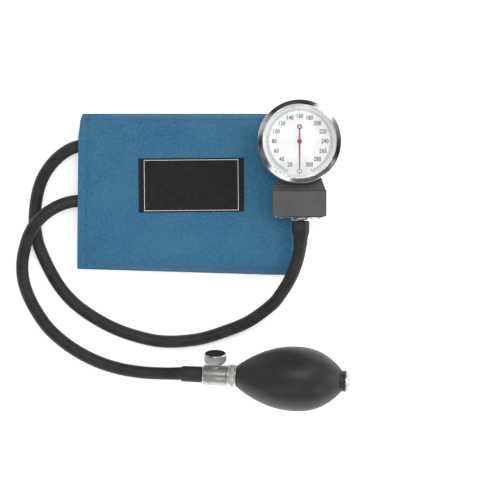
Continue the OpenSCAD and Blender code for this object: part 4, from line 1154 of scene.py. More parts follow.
def pucker(s, v):
    """Small gathers that run off the seams, and the slow waves of a stuffed panel, in millimetres."""
    x = s * PANEL_L
    y = v * CUFF_W / 2
    near_hem = math.exp(-max(0.0, x - HEM_LINE) / 9)
    near_edge = math.exp(-(CUFF_W / 2 - abs(y)) / 8)
    gathers = 0.32 * near_hem * noise.noise(Vector((x * 0.03, y * 0.19, 1.7)))
    pulls = 0.30 * near_edge * noise.noise(Vector((x * 0.17, y * 0.03, 5.5)))
    waves = 0.35 * noise.noise(Vector((x * 0.021, y * 0.03, 9.3)))
    return gathers + pulls + waves


def gauge_shelter(x, y):
    """0 under the gauge, its strap and hook, where the cloth lies flat, and 1 elsewhere. Millimetres."""
    return 1 - smooth((x - 26) / 10) * smooth((y - 44) / 8)


def top_panel_rows(shares, across):
    """The top panel with its hem, seams and gathers. Under the gauge nothing stands up."""
    rows = [cloth_row(s, lambda v, s=s: top_height(s, v), across) for s in shares]
    for row, s in zip(rows, shares):
        fade = 1 - smooth((s - 0.9) / 0.06)
        for point, v in zip(row, across):
            shelter = gauge_shelter(point.x / MM, point.y / MM)
            lift = hem_relief(s, v) * fade + min(pucker(s, v), 0.6) * shelter * fade * (1 - abs(v) ** 16)
            if shelter < 0.5:
                lift = min(lift, 0.0)
            point.z += lift * MM
    return rows


def outer_cloth_rows(across):
    """Outside of the outer cloth: top panel, fold, middle panel, left fold and bottom panel.

    Returns all rows and the shares s of the top panel's rows, which come first.
    """
    top_end = 1 - FOLD_BULGE / PANEL_L
    shares = steps(0, 0.06, 9) + steps(0.072, top_end, 66)
    rows = top_panel_rows(shares, across)
    for a in steps(90, -90, 17)[1:]:
        out, up = around(1, a)

        def height(v, up=up):
            high = top_height(1, v)
            return (high + MIDDLE_Z) / 2 + (high - MIDDLE_Z) / 2 * up

        rows.append(cloth_row(top_end + FOLD_BULGE / PANEL_L * out, height, across))
    rows += [cloth_row(s, lambda v: MIDDLE_Z, across) for s in steps(top_end - 0.03, 0.06, 26)]
    rows += left_fold_rows((MIDDLE_Z - BOTTOM_TOP_Z) / 2, across)
    free_end = 1 - FREE_END_INSET / PANEL_L
    rows += [cloth_row(s, lambda v: BOTTOM_TOP_Z, across) for s in steps(0.06, free_end, 28)]
    return rows, shares


def inner_cloth_rows(across):
    """Side of the inner cloth that looks at the outer: pocket floor, fold, middle, left fold and bottom."""
    fold_r = 1.0
    fold_mid = POCKET_Z - fold_r
    fold_s = 1 - (FOLD_BULGE + 0.7 + CLOTH_T) / PANEL_L
    rows = [cloth_row(s, lambda v: POCKET_Z, across) for s in steps(0.008, fold_s - 0.01, 40)]
    for a in steps(90, -90, 9):
        out, up = around(1, a)
        height = fold_mid + fold_r * up
        rows.append(cloth_row(fold_s + fold_r / PANEL_L * out, lambda v, h=height: h, across))
    level = MIDDLE_Z + CLOTH_T + LAYER_GAP
    rows += [cloth_row(s, lambda v: level, across) for s in steps(fold_s - 0.02, 0.06, 26)]
    rows += left_fold_rows((MIDDLE_Z - BOTTOM_TOP_Z) / 2 + CLOTH_T + LAYER_GAP, across)
    low = BOTTOM_TOP_Z - CLOTH_T - LAYER_GAP
    rows += [cloth_row(s, lambda v: low, across) for s in steps(0.06, 1 - FREE_END_INSET / PANEL_L, 28)]
    return rows


def swell(obj, free, cap, frames=20):
    """Lets the free part of a cloth swell against its seams by cloth simulation, at most by cap metres."""
    mesh = obj.data
    sewn = obj.vertex_groups.new(name="sewn")
    for k, loose in enumerate(free):
        sewn.add([k], 1 - loose, "REPLACE")
    cloth = obj.modifiers.new("Swell", "CLOTH")
    cloth.settings.quality = 5
    cloth.settings.mass = 0.15
    cloth.settings.vertex_group_mass = "sewn"
    cloth.settings.shrink_min = -0.014
    cloth.settings.use_pressure = True
    cloth.settings.uniform_pressure_force = 1.2
    cloth.settings.effector_weights.gravity = 0
    cloth.collision_settings.use_collision = False
    scene = bpy.context.scene
    for k in range(1, frames + 1):
        scene.frame_set(k)
    seen = obj.evaluated_get(bpy.context.evaluated_depsgraph_get())
    after = [v.co.copy() for v in seen.data.vertices]
    obj.modifiers.remove(cloth)
    scene.frame_set(1)
    for vertex, moved, loose in zip(mesh.vertices, after, free):
        move = moved - vertex.co
        if move.length > cap:
            move = move.normalized() * cap
        move.z = max(move.z, -0.3 * cap)
        vertex.co += move * loose
    obj.vertex_groups.clear()


def edge_spaced(count):
    """Values from -1 to 1, closer together at both ends."""
    return [math.sin(math.pi / 2 * t) * 0.35 + t * 0.65 for t in steps(-1, 1, count)]


def free_shares(rows, shares, across):
    """How far each point of the outer cloth may move: only the top panel, inside its seams."""
    free = []
    for row, s in zip(rows, shares):
        for point, v in zip(row, across):
            rim = smooth((s * PANEL_L - HEM_LINE) / 6) * smooth((EDGE_LINE - abs(v)) / 0.1)
            free.append(rim * smooth((FOLD_ZONE - s) / 0.06) * gauge_shelter(point.x / MM, point.y / MM))
    return free + [0.0] * (len(rows) - len(shares)) * len(across)


def make_outer_cloth():
    """Outer nylon of the cuff, folded in three, its top panel swollen by the cloth simulation."""
    look = bpy.context.scene.cuff_look
    across = edge_spaced(55)
    rows, shares = outer_cloth_rows(across)
    obj = grid_object("outer_nylon", rows, finish_of("cuff_cloth"))
    swell(obj, free_shares(rows, shares, across), look.puff)
    thicken(obj, NYLON_T, -1.0, 1)
    stand_for(obj, "cuff_cloth", "outer_cloth")
    return obj


def make_inner_cloth():
    rows = inner_cloth_rows(edge_spaced(31))
    obj = grid_object("inner_nylon", rows, finish_of("cuff_lining"))
    thicken(obj, NYLON_T, 1.0, 1)
    stand_for(obj, "cuff_lining", "inner_cloth")


def cuff_seams(surface):
    """Rows of stitches: along the hem and along both long edges of the top panel."""
    look = bpy.context.scene.cuff_look
    thread = sewing_thread("cuff_thread", look.thread_colour)
    sunk = 0.00002
    lines = {
        "hem_stitches": [(HEM_LINE / PANEL_L, v) for v in steps(-0.985, 0.985, 90)],
        "upper_edge_stitches": [(s, EDGE_LINE) for s in steps(0.01, 0.94, 110)],
        "lower_edge_stitches": [(s, -EDGE_LINE) for s in steps(0.01, 0.94, 110)],
    }
    for name, line in lines.items():
        points = []
        for s, v in line:
            x, y = (c * MM for c in plan(s, v))
            points.append(Vector((x, y, height_on(surface, x, y, EDGE_Z * MM) - sunk)))
        seam = sewn_line(name, points, thread, look.stitch_pitch)
        ride_with(seam, "outer_cloth")


class PRESSURE_OT_cuff(bpy.types.Operator):
    """Folded nylon cuff: outer cloth, lining, hem and seams"""

    bl_idname = "pressure.cuff"
    bl_label = "Cuff cloth"

    def execute(self, context):
        outer = make_outer_cloth()
        make_inner_cloth()
        cuff_seams(surface_of(outer))
        return {"FINISHED"}


def make_bladder():
    """Flat rubber bag in the pocket, pillow-shaped, with a welded rim."""
    low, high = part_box("bladder")
    middle = (low + high) / 2
    half = (high - low) / 2
    floor = low.z + 0.0002
    rim = floor + 0.0011
    rim_top = rim + 0.0004
    under_cloth = CLOTH_T + 0.9
    top = []
    bottom = []
    for a in steps(-1, 1, 34):
        top_row = []
        bottom_row = []
        for b in steps(-1, 1, 26):
            x = middle.x + half.x * a
            y = middle.y + half.y * b
            roof = (top_height(*plan_shares(x / MM, y / MM)) - under_cloth) * MM
            pillow = (1 - a ** 8) * (1 - b ** 8)
            top_row.append(Vector((x, y, rim_top + (roof - rim_top) * pillow ** 0.5)))
            bottom_row.append(Vector((x, y, rim - (rim - floor) * pillow ** 0.3)))
        top.append(top_row)
        bottom.append(bottom_row)
    return closed_pillow("bladder_bag", top, bottom, finish_of("bladder_rubber"))


def closed_pillow(name, top, bottom, material):
    """A closed bag between two grids of points."""
    across = len(top[0])
    count = len(top) * across
    verts = [p for row in top + bottom for p in row]
    faces = []
    for i in range(len(top) - 1):
        for k in range(across - 1):
            a = i * across + k
            faces.append((a, a + across, a + across + 1, a + 1))
            faces.append((count + a, count + a + 1, count + a + across + 1, count + a + across))
    rim = list(range(across))
    rim += [i * across + across - 1 for i in range(1, len(top))]
    rim += [(len(top) - 1) * across + k for k in range(across - 2, -1, -1)]
    rim += [i * across for i in range(len(top) - 2, 0, -1)]
    for a, b in zip(rim, rim[1:] + rim[:1]):
        faces.append((a, b, count + b, count + a))
    return closed_object(name, verts, faces, material)


class PRESSURE_OT_bladder(bpy.types.Operator):
    """Rubber bladder in the cuff's pocket"""

    bl_idname = "pressure.bladder"
    bl_label = "Bladder"

    def execute(self, context):
        bag = make_bladder()
        stand_for(bag, "bladder_rubber", "bladder")
        return {"FINISHED"}


def rounded_loop(half_a, half_b, corner, arc=7):
    """Points of a rectangle with round corners, round its middle."""
    loop = []
    for i, j, start in ((1, 1, 0), (-1, 1, 90), (-1, -1, 180), (1, -1, 270)):
        for a in steps(start, start + 90, arc):
            x, y = around(corner, a)
            loop.append((i * (half_a - corner) + x, j * (half_b - corner) + y))
    return loop


def rounded_patch(name, node, slot, corner=6.0):
    """A thin patch with round corners, slightly domed at its rim, in the box of its node."""
    low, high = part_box(node)
    middle = (low + high) / 2 / MM
    half_x = (high.x - low.x) / 2 / MM
    half_y = (high.y - low.y) / 2 / MM
    rings = []
    rim_height = (high.z - low.z) / MM
    for inset, height in ((0.0, 0.25), (0.0, 0.75), (0.5, 1.0)):
        level = low.z / MM + rim_height * height
        loop = rounded_loop(half_x - inset, half_y - inset, corner - inset)
        rings.append([Vector((middle.x + x, middle.y + y, level)) * MM for x, y in loop])
    under = [Vector((p.x, p.y, low.z + 0.00002)) for p in rings[-1]]
    obj = loft(name, [under] + rings, finish_of(slot), crease=60)
    layer = obj.data.uv_layers.new(name="Cloth")
    for loop in obj.data.loops:
        co = obj.data.vertices[loop.vertex_index].co
        layer.data[loop.index].uv = (co.x, co.y)
    stand_for(obj, slot, node)


def patch_seam(name, node):
    """Stitches round the top of a patch, a little inside its rim."""
    low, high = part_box(node)
    inset = 0.0025
    corner = 0.0045
    middle = (low + high) / 2
    half = (high - low) / 2
    loop = rounded_loop(half.x - inset, half.y - inset, corner)
    points = [Vector((middle.x + x, middle.y + y, high.z)) for x, y in loop]
    thread = sewing_thread("patch_thread", (0.02, 0.02, 0.025))
    seam = sewn_line(name, points, thread, 0.003, arch=0.00025, closed=True)
    ride_with(seam, node)


class PRESSURE_OT_patches(bpy.types.Operator):
    """Loop patch with its seam inside the roll, and hook patch under it"""

    bl_idname = "pressure.patches"
    bl_label = "Fastening patches"

    def execute(self, context):
        rounded_patch("loop_field", "loop_patch", "loop_fabric")
        rounded_patch("hook_field", "hook_patch", "hook_fabric")
        patch_seam("loop_seam", "loop_patch")
        return {"FINISHED"}


# Woven label
LABEL_L = 81.0
LABEL_W = 41.4
LABEL_AT = Vector((-17, 54))
LABEL_TURN = 0.5


def label_point(u, w, surface, lift):
    """A point of the label in metres: u and w are millimetres from its middle."""
    a = math.radians(LABEL_TURN)
    x = (LABEL_AT.x + u * math.cos(a) - w * math.sin(a)) * MM
    y = (LABEL_AT.y + u * math.sin(a) + w * math.cos(a)) * MM
    return Vector((x, y, height_on(surface, x, y, CROWN_Z * MM) + lift * MM))


def label_frame(inset_l, inset_w, surface):
    """Points of a rectangle on the label, so many millimetres inside its sides."""
    half_l = LABEL_L / 2 - inset_l
    half_w = LABEL_W / 2 - inset_w
    corners = [(-half_l, -half_w), (half_l, -half_w), (half_l, half_w), (-half_l, half_w)]
    points = []
    for (u0, w0), (u1, w1) in zip(corners, corners[1:] + corners[:1]):
        for t in steps(0, 1, 30)[:-1]:
            points.append(label_point(u0 + (u1 - u0) * t, w0 + (w1 - w0) * t, surface, 0.0))
    return points


def make_label(surface):
    """The label's cloth, puffed between its stitches, with its frame line and its seam."""
    look = bpy.context.scene.label_look
    rows = []
    for u in steps(-LABEL_L / 2, LABEL_L / 2, 82):
        row = []
        for w in steps(-LABEL_W / 2, LABEL_W / 2, 42):
            rim = min(LABEL_L / 2 - abs(u), LABEL_W / 2 - abs(w))
            puffed = 0.06 + 0.12 * smooth(rim / 2.5) + 0.05 * noise.noise(Vector((u * 0.12, w * 0.12, 4.0)))
            row.append(label_point(u, w, surface, puffed))
        rows.append(row)
    obj = grid_object("label_satin", rows, finish_of("label_cloth"))
    thicken(obj, 0.0004, 1.0)
    stand_for(obj, "label_cloth", "woven_label")
    top = surface_of(obj)
    border = sewing_thread("border_thread", look.border_colour)
    inner = label_frame(look.border_inset / MM, 1.3, top)
    frame_line = sewn_line("label_border", inner, border, 0.00105, 0.00021, 1.0, 0.0003, True)
    ride_with(frame_line, "woven_label")
    dark = sewing_thread("label_thread", (0.012, 0.012, 0.014))
    outer = label_frame(0.9, 0.55, top)
    sewn = sewn_line("label_edge_stitches", outer, dark, 0.0022, 0.00015, 0.7, 0.0003, True)
    ride_with(sewn, "woven_label")


class PRESSURE_OT_label(bpy.types.Operator):
    """Bare woven label with its thin frame line, sewn to the top panel"""

    bl_idname = "pressure.label"
    bl_label = "Woven label"

    def execute(self, context):
        make_label(surface_of(bpy.data.objects["outer_nylon"]))
        return {"FINISHED"}


def make_strap():
    """Webbing strap under the gauge: raised in the middle over the hook's tongue, sewn down at both feet."""
    low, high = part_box("gauge_strap")
    half = (high.y - low.y) / 2
    width = (high.x - low.x) / 2 - 0.00005
    middle = (low + high) / 2
    thick = 0.0011
    foot_length = 0.006
    rows = []
    for t in steps(-1, 1, 41):
        y = middle.y + half * 0.995 * t
        foot = top_height(*plan_shares(STRAP_X, y / MM)) * MM + 0.0001
        raised = smooth((half - foot_length - abs(y - middle.y)) / 0.0018)
        z = foot + (high.z - thick - foot) * raised
        row = []
        for w in steps(-1, 1, 9):
            row.append(Vector((middle.x + width * w, y, z + 0.00006 * (1 - w * w))))
        rows.append(row)
    obj = grid_object("strap_webbing_band", rows, finish_of("strap_webbing"))
    thicken(obj, thick - 0.0001, 1.0)
    stand_for(obj, "strap_webbing", "gauge_strap")


class PRESSURE_OT_strap(bpy.types.Operator):
    """Webbing strap on the cuff, and the hook of the gauge that slides under it"""

    bl_idname = "pressure.strap"
    bl_label = "Strap and hook"

    def execute(self, context):
        make_strap()
        dress("gauge_hook", "hook_rivets")
        return {"FINISHED"}


# Gauge head
def value_on(line, at):
    """Second value of a line of (first, second) points at a first value."""
    for (a0, b0), (a1, b1) in zip(line, line[1:]):
        if at <= a1:
            return b0 + (b1 - b0) * (at - a0) / (a1 - a0)
    return line[-1][1]


def block_ring(reach, half, low, high, root_r=None):
    """One cross-section of the neck block. At its root it follows the round case."""
    loop = []
    for x, up in rounded_loop(half, (high - low) / 2, 1.1, 5):
        y = math.sqrt(root_r ** 2 - x ** 2) if root_r else reach
        loop.append(GAUGE @ Vector((x, -y, (high + low) / 2 + up)))
    return loop


def make_block():
    """Neck block: rounded bar that rises over a sloping shoulder and widens behind a fine groove."""
    root_r = 28.0
    root_top = 11.9
    rim = 1.2
    sides = fillet([
        (20, BLOCK_NECK_HALF, 0), (SHOULDER_START_Y, BLOCK_NECK_HALF, 2.5), (SHOULDER_Y, 20.1, 1.5),
        (SHOULDER_Y + 1, BLOCK_HALF, 0.5), (BLOCK_REACH, BLOCK_HALF, 0)], False)
    groove = SHOULDER_Y + 0.25
    bottom = BLOCK_T - GROOVE_DEPTH
    tops = fillet([
        (20, 11, 0), (SHOULDER_START_Y, 12, 1.5), (SHOULDER_Y, BLOCK_T - 0.1, 0.4), (groove, bottom, 0.15),
        (groove + 0.5, bottom, 0.15), (groove + 0.9, BLOCK_T, 0.3), (BLOCK_REACH, BLOCK_T, 0)], False)
    levels = sorted({round(p.x, 3) for p in sides + tops if root_r + 0.5 < p.x < BLOCK_REACH - rim})
    rows = [block_ring(0, BLOCK_NECK_HALF, 0, root_top, root_r)]
    for reach in levels:
        rows.append(block_ring(reach, value_on(sides, reach), 0, value_on(tops, reach)))
    for corner in fillet([(0, rim, 0), (rim, rim, rim), (rim, 0, 0)], False, 5)[1:]:
        drop = rim - corner.y
        rows.append(block_ring(BLOCK_REACH - rim + corner.x, BLOCK_HALF - drop, drop, BLOCK_T - drop))
    return loft("neck_block", rows, finish_of("case_plastic"), crease=35)


def make_case():
    drum = lathe("drum", fillet([
        (0, 0, 0), (CASE_R, 0, 1.6), (CASE_R, CASE_H, 0.3), (REBATE_R, CASE_H, 0.3), (REBATE_R, DIAL_Z, 0.1),
        (CAVITY_R, DIAL_Z, 0.3), (CAVITY_R, 3.6, 0.6), (0, 3.6, 0)]), GAUGE, finish_of("case_plastic"), 128)
    case = joined("case_enamel", [drum, make_block()], crease=38)
    stand_for(case, "case_plastic", "gauge_case")


def end_place(x, out=0.0):
    """A place on the block's end, with its Z out of it."""
    return GAUGE @ Matrix.Translation(Vector((x, -BLOCK_REACH - out, NIPPLE_Z))) @ turned(90, "X")


def make_end_plate():
    """Chrome plate on the block's end, with a rounded rim and a hole for the fitting."""
    corner = 2.0
    hole_r = 4.2
    thick = 1.0
    low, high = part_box("end_plate")
    middle = (low + high) / 2 / MM
    half = (high - low) / 2 / MM
    back = high.y / MM
    rows = []
    for inset, out in ((0.0, 0.0), (0.0, 0.3), (0.1, 0.62), (0.32, 0.88), (0.65, thick)):
        loop = rounded_loop(half.x - inset, half.z - inset, corner)
        rows.append([Vector((middle.x + x, back - out, middle.z + z)) * MM for x, z in loop])
    hole = Vector((GAUGE_AT[0] + NIPPLE_X, 0, middle.z))
    for out in (thick, 0.0):
        loop = rounded_loop(half.x, half.z, corner)
        round_hole = [Vector((x, 0, z)).normalized() * hole_r for x, z in loop]
        rows.append([(hole + p + Vector((0, back - out, 0))) * MM for p in round_hole])
    plate = loft("end_plate_rounded", rows, finish_of("fitting_chrome"), 40, True)
    stand_for(plate, "fitting_chrome", "end_plate")


def make_end_screws():
    """Two domed screws in the end plate."""
    outline = fillet([
        (0, -5, 0), (0.78, -5, 0.1), (0.78, 0, 0), (1.5, 0.02, 0.1), (1.45, 0.5, 0.4), (0.7, 0.88, 0.4),
        (0, 0.9, 0)])
    heads = []
    for i in (-1, 1):
        heads.append(lathe("screw", outline, end_place(SCREW_X * i, 1), finish_of("screw_steel"), 32))
    screws = joined("end_plate_domes", heads)
    screws.data.shade_smooth()
    stand_for(screws, "screw_steel", "end_plate_screws")


class PRESSURE_OT_case(bpy.types.Operator):
    """Round case of the gauge with its neck block, end plate and screws"""

    bl_idname = "pressure.case"
    bl_label = "Gauge case"

    def execute(self, context):
        make_case()
        make_end_plate()
        make_end_screws()
        return {"FINISHED"}


def make_bezel():
    """Rolled chrome ring: inner lip, crest near the window, outward slope and straight skirt with a bead."""
    crest = LIP_Z + 0.7 + CREST
    inside = CASE_R + 0.05
    foot = BEZEL_R - 0.12
    outline = fillet([
        (inside, 15, 0), (inside, LIP_Z, 0), (WINDOW_R, LIP_Z, 0.15), (WINDOW_R + 0.2, crest + 0.22, 0.7),
        (BEZEL_R, crest - 1.5, 0.55), (BEZEL_R, 17.4, 0.1), (foot, 17.2, 0), (foot, 16.9, 0)], False, 9)
    bead_r = 0.75
    bead_half = 0.8
    bead_z = 15.8
    for a in steps(60, -90, 7):
        out, up = around(1, a)
        outline.append(Vector((BEZEL_R - bead_r + bead_r * out, bead_z + bead_half * up)))
    bezel = lathe("bezel_ring", outline, GAUGE, finish_of("bezel_chrome"), 160, 50)
    stand_for(bezel, "bezel_chrome", "gauge_bezel")


def make_crystal():
    """Clear disc with a thin edge and a slightly domed face."""
    face_r = 28.0
    face_z = 27.2
    dome = 0.35
    edge = ((0, 25), (30.0, 25), (30.1, 25.1), (30.1, 26.9), (29.8, face_z))
    outline = [Vector(p) for p in edge]
    for r in steps(face_r, 0, 15):
        outline.append(Vector((r, face_z + dome * (1 - (r / face_r) ** 2))))
    glass = lathe("crystal_disc", outline, GAUGE, finish_of("crystal_glass"), 128, 30)
    stand_for(glass, "crystal_glass", "gauge_crystal")


class PRESSURE_OT_bezel(bpy.types.Operator):
    """Chrome bezel, clear crystal and its gasket"""

    bl_idname = "pressure.bezel"
    bl_label = "Bezel and crystal"

    def execute(self, context):
        make_bezel()
        make_crystal()
        dress("crystal_gasket")
        return {"FINISHED"}


# Dial: its print lies a little over its face. Radii in millimetres
DIAL_FACE = DIAL_Z + DIAL_T
PRINT_Z = DIAL_FACE + 0.02
DIAL_R = 28.7
BAND_IN = 23.5
BAND_OUT = 25.7
FIGURE_R = 19.4
DEGREES_PER_UNIT = 1.125
FIRST_FIGURE = 20
FIGURE_STEP = 20


def dial_mark(name, inner, outer, width):
    """One radial mark below the middle of the dial, in millimetres."""
    half = width / 2
    corners = ((-half, -inner), (-half, -outer), (half, -outer), (half, -inner))
    return new_object(name, [(x, y, PRINT_Z) for x, y in corners], [(0, 1, 2, 3)])


def make_graduations(ink):
    """Marks every 2 units, longer ones every 10 and every 20, from the first figure up to the last."""
    last = bpy.context.scene.gauge_look.last_figure
    first = -DEGREES_PER_UNIT * FIRST_FIGURE
    marks = []
    for name, inner, width, every in (
            ("fine_marks", BAND_IN, 0.33, 2), ("ten_marks", BAND_IN - 0.25, 0.36, 10),
            ("twenty_marks", BAND_IN - 0.5, 0.36, 20)):
        count = (last - FIRST_FIGURE) // every + 1
        mark = dial_mark(name, inner, BAND_OUT, width)
        marks.append(repeated(mark, count, first, -DEGREES_PER_UNIT * every, ink, GAUGE))
    return marks


def text_mesh(name, words, height, ink, place):
    """Narrow bold figures as a flat mesh, centred on their place."""
    capital_share = 0.7
    squeeze = 0.73
    curve = bpy.data.curves.new(name, "FONT")
    curve.body = words
    curve.size = height / capital_share
    curve.offset = 0.115
    curve.space_character = 1.12
    curve.align_x = "CENTER"
    curve.align_y = "CENTER"
    curve.resolution_u = 4
    text = linked(name, curve)
    mesh = finished_mesh(text)
    bpy.data.objects.remove(text)
    mesh.transform(place @ Matrix.Diagonal((squeeze, 1, 1, 1)))
    mesh.materials.clear()
    mesh.materials.append(ink)
    return linked(name, mesh)


def make_figures(ink):
    """Printed pressures, each upright to a reader who has the zero mark at the bottom."""
    look = bpy.context.scene.gauge_look
    height = look.figure_height / MM
    parts = []
    for figure in range(FIRST_FIGURE, look.last_figure + 1, FIGURE_STEP):
        x, y = around(FIGURE_R, figure * DEGREES_PER_UNIT)
        place = GAUGE @ Matrix.Translation(Vector((-y, -x, PRINT_Z)))
        parts.append(text_mesh(f"figure_{figure}", str(figure), height, ink, place))
    return parts


def make_zero_box(ink):
    """Zero mark: a small frame on a stem under the pointer's tip."""
    half = 1.95
    stroke = 0.36
    stem_half = 0.22
    middle = -22.9
    half_height = 1.25
    low = middle - half_height
    high = middle + half_height
    bars = (
        (-half, high - stroke, half, high), (-half, low, half, low + stroke),
        (-half, low, -half + stroke, high), (half - stroke, low, half, high),
        (-stem_half, -BAND_OUT, stem_half, low))
    verts = []
    faces = []
    for x0, y0, x1, y1 in bars:
        k = len(verts)
        verts += [GAUGE @ Vector((x, y, PRINT_Z)) for x, y in ((x0, y0), (x1, y0), (x1, y1), (x0, y1))]
        faces.append((k, k + 1, k + 2, k + 3))
    return new_object("zero_box", verts, faces, ink)


def make_dial():
    """Enamelled plate with its print, and the white ring that slopes up round it."""
    plate = lathe("dial_face", fillet([
        (1.5, DIAL_Z, 0.05), (DIAL_R, DIAL_Z, 0.1), (DIAL_R, DIAL_FACE, 0.15), (1.5, DIAL_FACE, 0.15)]),
        GAUGE, finish_of("dial_enamel"), 128)
    stand_for(plate, "dial_enamel", "dial_plate")
    ring_in = 26.2
    ring_top = 24.95
    outline = fillet([
        (ring_in, DIAL_FACE + 0.01, 0), (DIAL_R, DIAL_FACE + 0.01, 0.1), (DIAL_R, ring_top, 0.1),
        (28.2, ring_top, 0.1), (ring_in, DIAL_FACE + 0.45, 0.3)])
    ring = lathe("dial_reflector", outline, GAUGE, finish_of("dial_ring_plastic"), 128)
    stand_for(ring, "dial_ring_plastic", "dial_ring")
    ink = printing_ink("dial_ink", bpy.context.scene.gauge_look.ink_colour)
    print_parts = make_graduations(ink) + make_figures(ink) + [make_zero_box(ink)]
    ride_with(joined("dial_print", print_parts, ink), "dial_plate")


class PRESSURE_OT_dial(bpy.types.Operator):
    """White dial with its graduations, figures and zero mark, and the sloping ring round it"""

    bl_idname = "pressure.dial"
    bl_label = "Dial"

    def execute(self, context):
        make_dial()
        return {"FINISHED"}


def make_pointer():
    """Tapered pointer with a raised spine, a ring on its tail and a domed hub."""
    paint = finish_of("pointer_paint")
    thick = 0.4
    rows = []
    for y, half in ((TAIL_L - 1.7, 0.42), (2.0, 0.55), (0.0, 0.62), (-4.0, 0.6), (-POINTER_L + 1.2, 0.36),
                    (-POINTER_L, 0.12)):
        side = 0.6 * thick
        spine = 0.3 * half
        outline = ((-half, 0.0), (half, 0.0), (half, side), (spine, thick), (-spine, thick), (-half, side))
        rows.append([GAUGE @ Vector((x, y, POINTER_Z + z)) for x, z in outline])
    shaft = loft("shaft", rows, paint, crease=30)
    tail = GAUGE @ Matrix.Translation(Vector((0, TAIL_L, POINTER_Z)))
    hoop = fillet([(1.0, 0, 0.1), (1.9, 0, 0.1), (1.9, thick, 0.15), (1.0, thick, 0.15)])
    ring = lathe("ring", hoop, tail, paint, 48)
    dome = (
        (0.6, 0), (1.85, 0), (1.85, 0.5), (1.7, 0.75), (1.3, 0.95), (0.7, 1.0), (0, 1.0), (0, 0.9),
        (0.6, 0.9))
    hub = lathe("hub", [Vector((r, POINTER_Z + up)) for r, up in dome], GAUGE, paint, 48)
    pointer = joined("pointer_needle", [shaft, ring, hub], crease=35)
    stand_for(pointer, "pointer_paint", "pointer")


class PRESSURE_OT_pointer(bpy.types.Operator):
    """Lacquered pointer, which turns with its arbor"""

    bl_idname = "pressure.pointer"
    bl_label = "Pointer"

    def execute(self, context):
        make_pointer()
        return {"FINISHED"}


MOVEMENT = (
    "pinion_arbor", "hairspring", "sector_gear", "rocking_shaft", "shaft_bearings", "capsule_pin",
    "capsule_upper", "capsule_lower", "capsule_stem", "movement_base", "base_screws", "movement_pillars",
    "movement_bridge", "bridge_screws", "movement_cock", "cock_screws")


class PRESSURE_OT_movement(bpy.types.Operator):
    """Brass, bronze and steel finishes of the movement under the dial"""

    bl_idname = "pressure.movement"
    bl_label = "Movement"

    def execute(self, context):
        dress(*MOVEMENT)
        return {"FINISHED"}


def barb(base, length, radius):
    """Outline of a barbed hose tail, from its base to its tip."""
    low = radius - 0.5
    tip = base + length
    return [
        (low, base, 0.1), (low, tip - 9, 0.3), (radius, tip - 8.5, 0.15), (low, tip - 5, 0.1),
        (radius, tip - 4.5, 0.15), (radius - 1, tip, 0.3)]


def make_nipple():
    """Fitting with a round flange in front of the end plate and a barbed tail for the hose."""
    bore = 1.3
    flange = [(4, 1.02, 0), (8.8, 1.05, 0.4), (9.2, 1.6, 0.3), (9.2, 2.7, 0.5), (8.4, 3.4, 0.5)]
    outline = fillet([(bore, -9.8, 0.2), (4, -9.8, 0.4)] + flange + barb(3.4, 13, 3.2) + [(bore, 16.4, 0.3)])
    nipple = lathe("gauge_fitting", outline, end_place(NIPPLE_X), finish_of("fitting_chrome"), 72, 35)
    stand_for(nipple, "fitting_chrome", "gauge_nipple")


class PRESSURE_OT_nipple(bpy.types.Operator):
    """Chrome fitting that the gauge's hose is pushed over"""

    bl_idname = "pressure.nipple"
    bl_label = "Gauge fitting"

    def execute(self, context):
        make_nipple()
        return {"FINISHED"}


# Release valve
def make_valve_body():
    """Barrel with a bevelled and grooved hose end, and the boss that the knob turns in."""
    nickel = finish_of("valve_nickel")
    bore = 1.5
    low = -COLLAR_L - VALVE_L
    groove = VALVE_R - 0.3
    socket = COLLAR_R - 1.8
    end = -COLLAR_L
    body = lathe("barrel", fillet([
        (bore, low, 0.2), (VALVE_R - 1.4, low, 0.6), (VALVE_R, low + 1.4, 0.6), (VALVE_R, low + 2.6, 0.1),
        (groove, low + 2.9, 0.1), (groove, low + 3.3, 0.1), (VALVE_R, low + 3.6, 0.1),
        (VALVE_R, end - 1.2, 0.2), (VALVE_R - 0.5, end - 0.3, 0.2), (socket, end - 0.3, 0),
        (socket, end + 2.4, 0.3), (bore, end + 2.4, 0.2)]), BULB, nickel, 112, 35)
    outline = fillet([(2.2, 3.5, 0), (4.7, 3.5, 0), (4.7, 8.3, 0.5), (4.2, 9.0, 0.4), (2.2, 9.0, 0.2)])
    boss = lathe("boss", outline, KNOB, nickel, 64, 35)
    valve = joined("valve_barrel", [body, boss], crease=35)
    stand_for(valve, "valve_nickel", "valve_body")


def ridge(name, radius, low, high, width):
    """One rounded ridge on a drum's side, parallel to its axis, in millimetres."""
    depth = 0.16
    run_out = 0.35
    verts = []
    for z, share in ((low, 0.2), (low + run_out, 1.0), (high - run_out, 1.0), (high, 0.2)):
        for t, lift in ((-0.5, -0.15), (-0.25, 0.75), (0.0, 1.0), (0.25, 0.75), (0.5, -0.15)):
            r = radius + depth * (lift * share if lift > 0 else lift)
            verts.append((r, width * t, z))
    faces = []
    for i in range(3):
        for k in range(4):
            a = i * 5 + k
            faces.append((a, a + 1, a + 6, a + 5))
    return new_object(name, verts, faces)


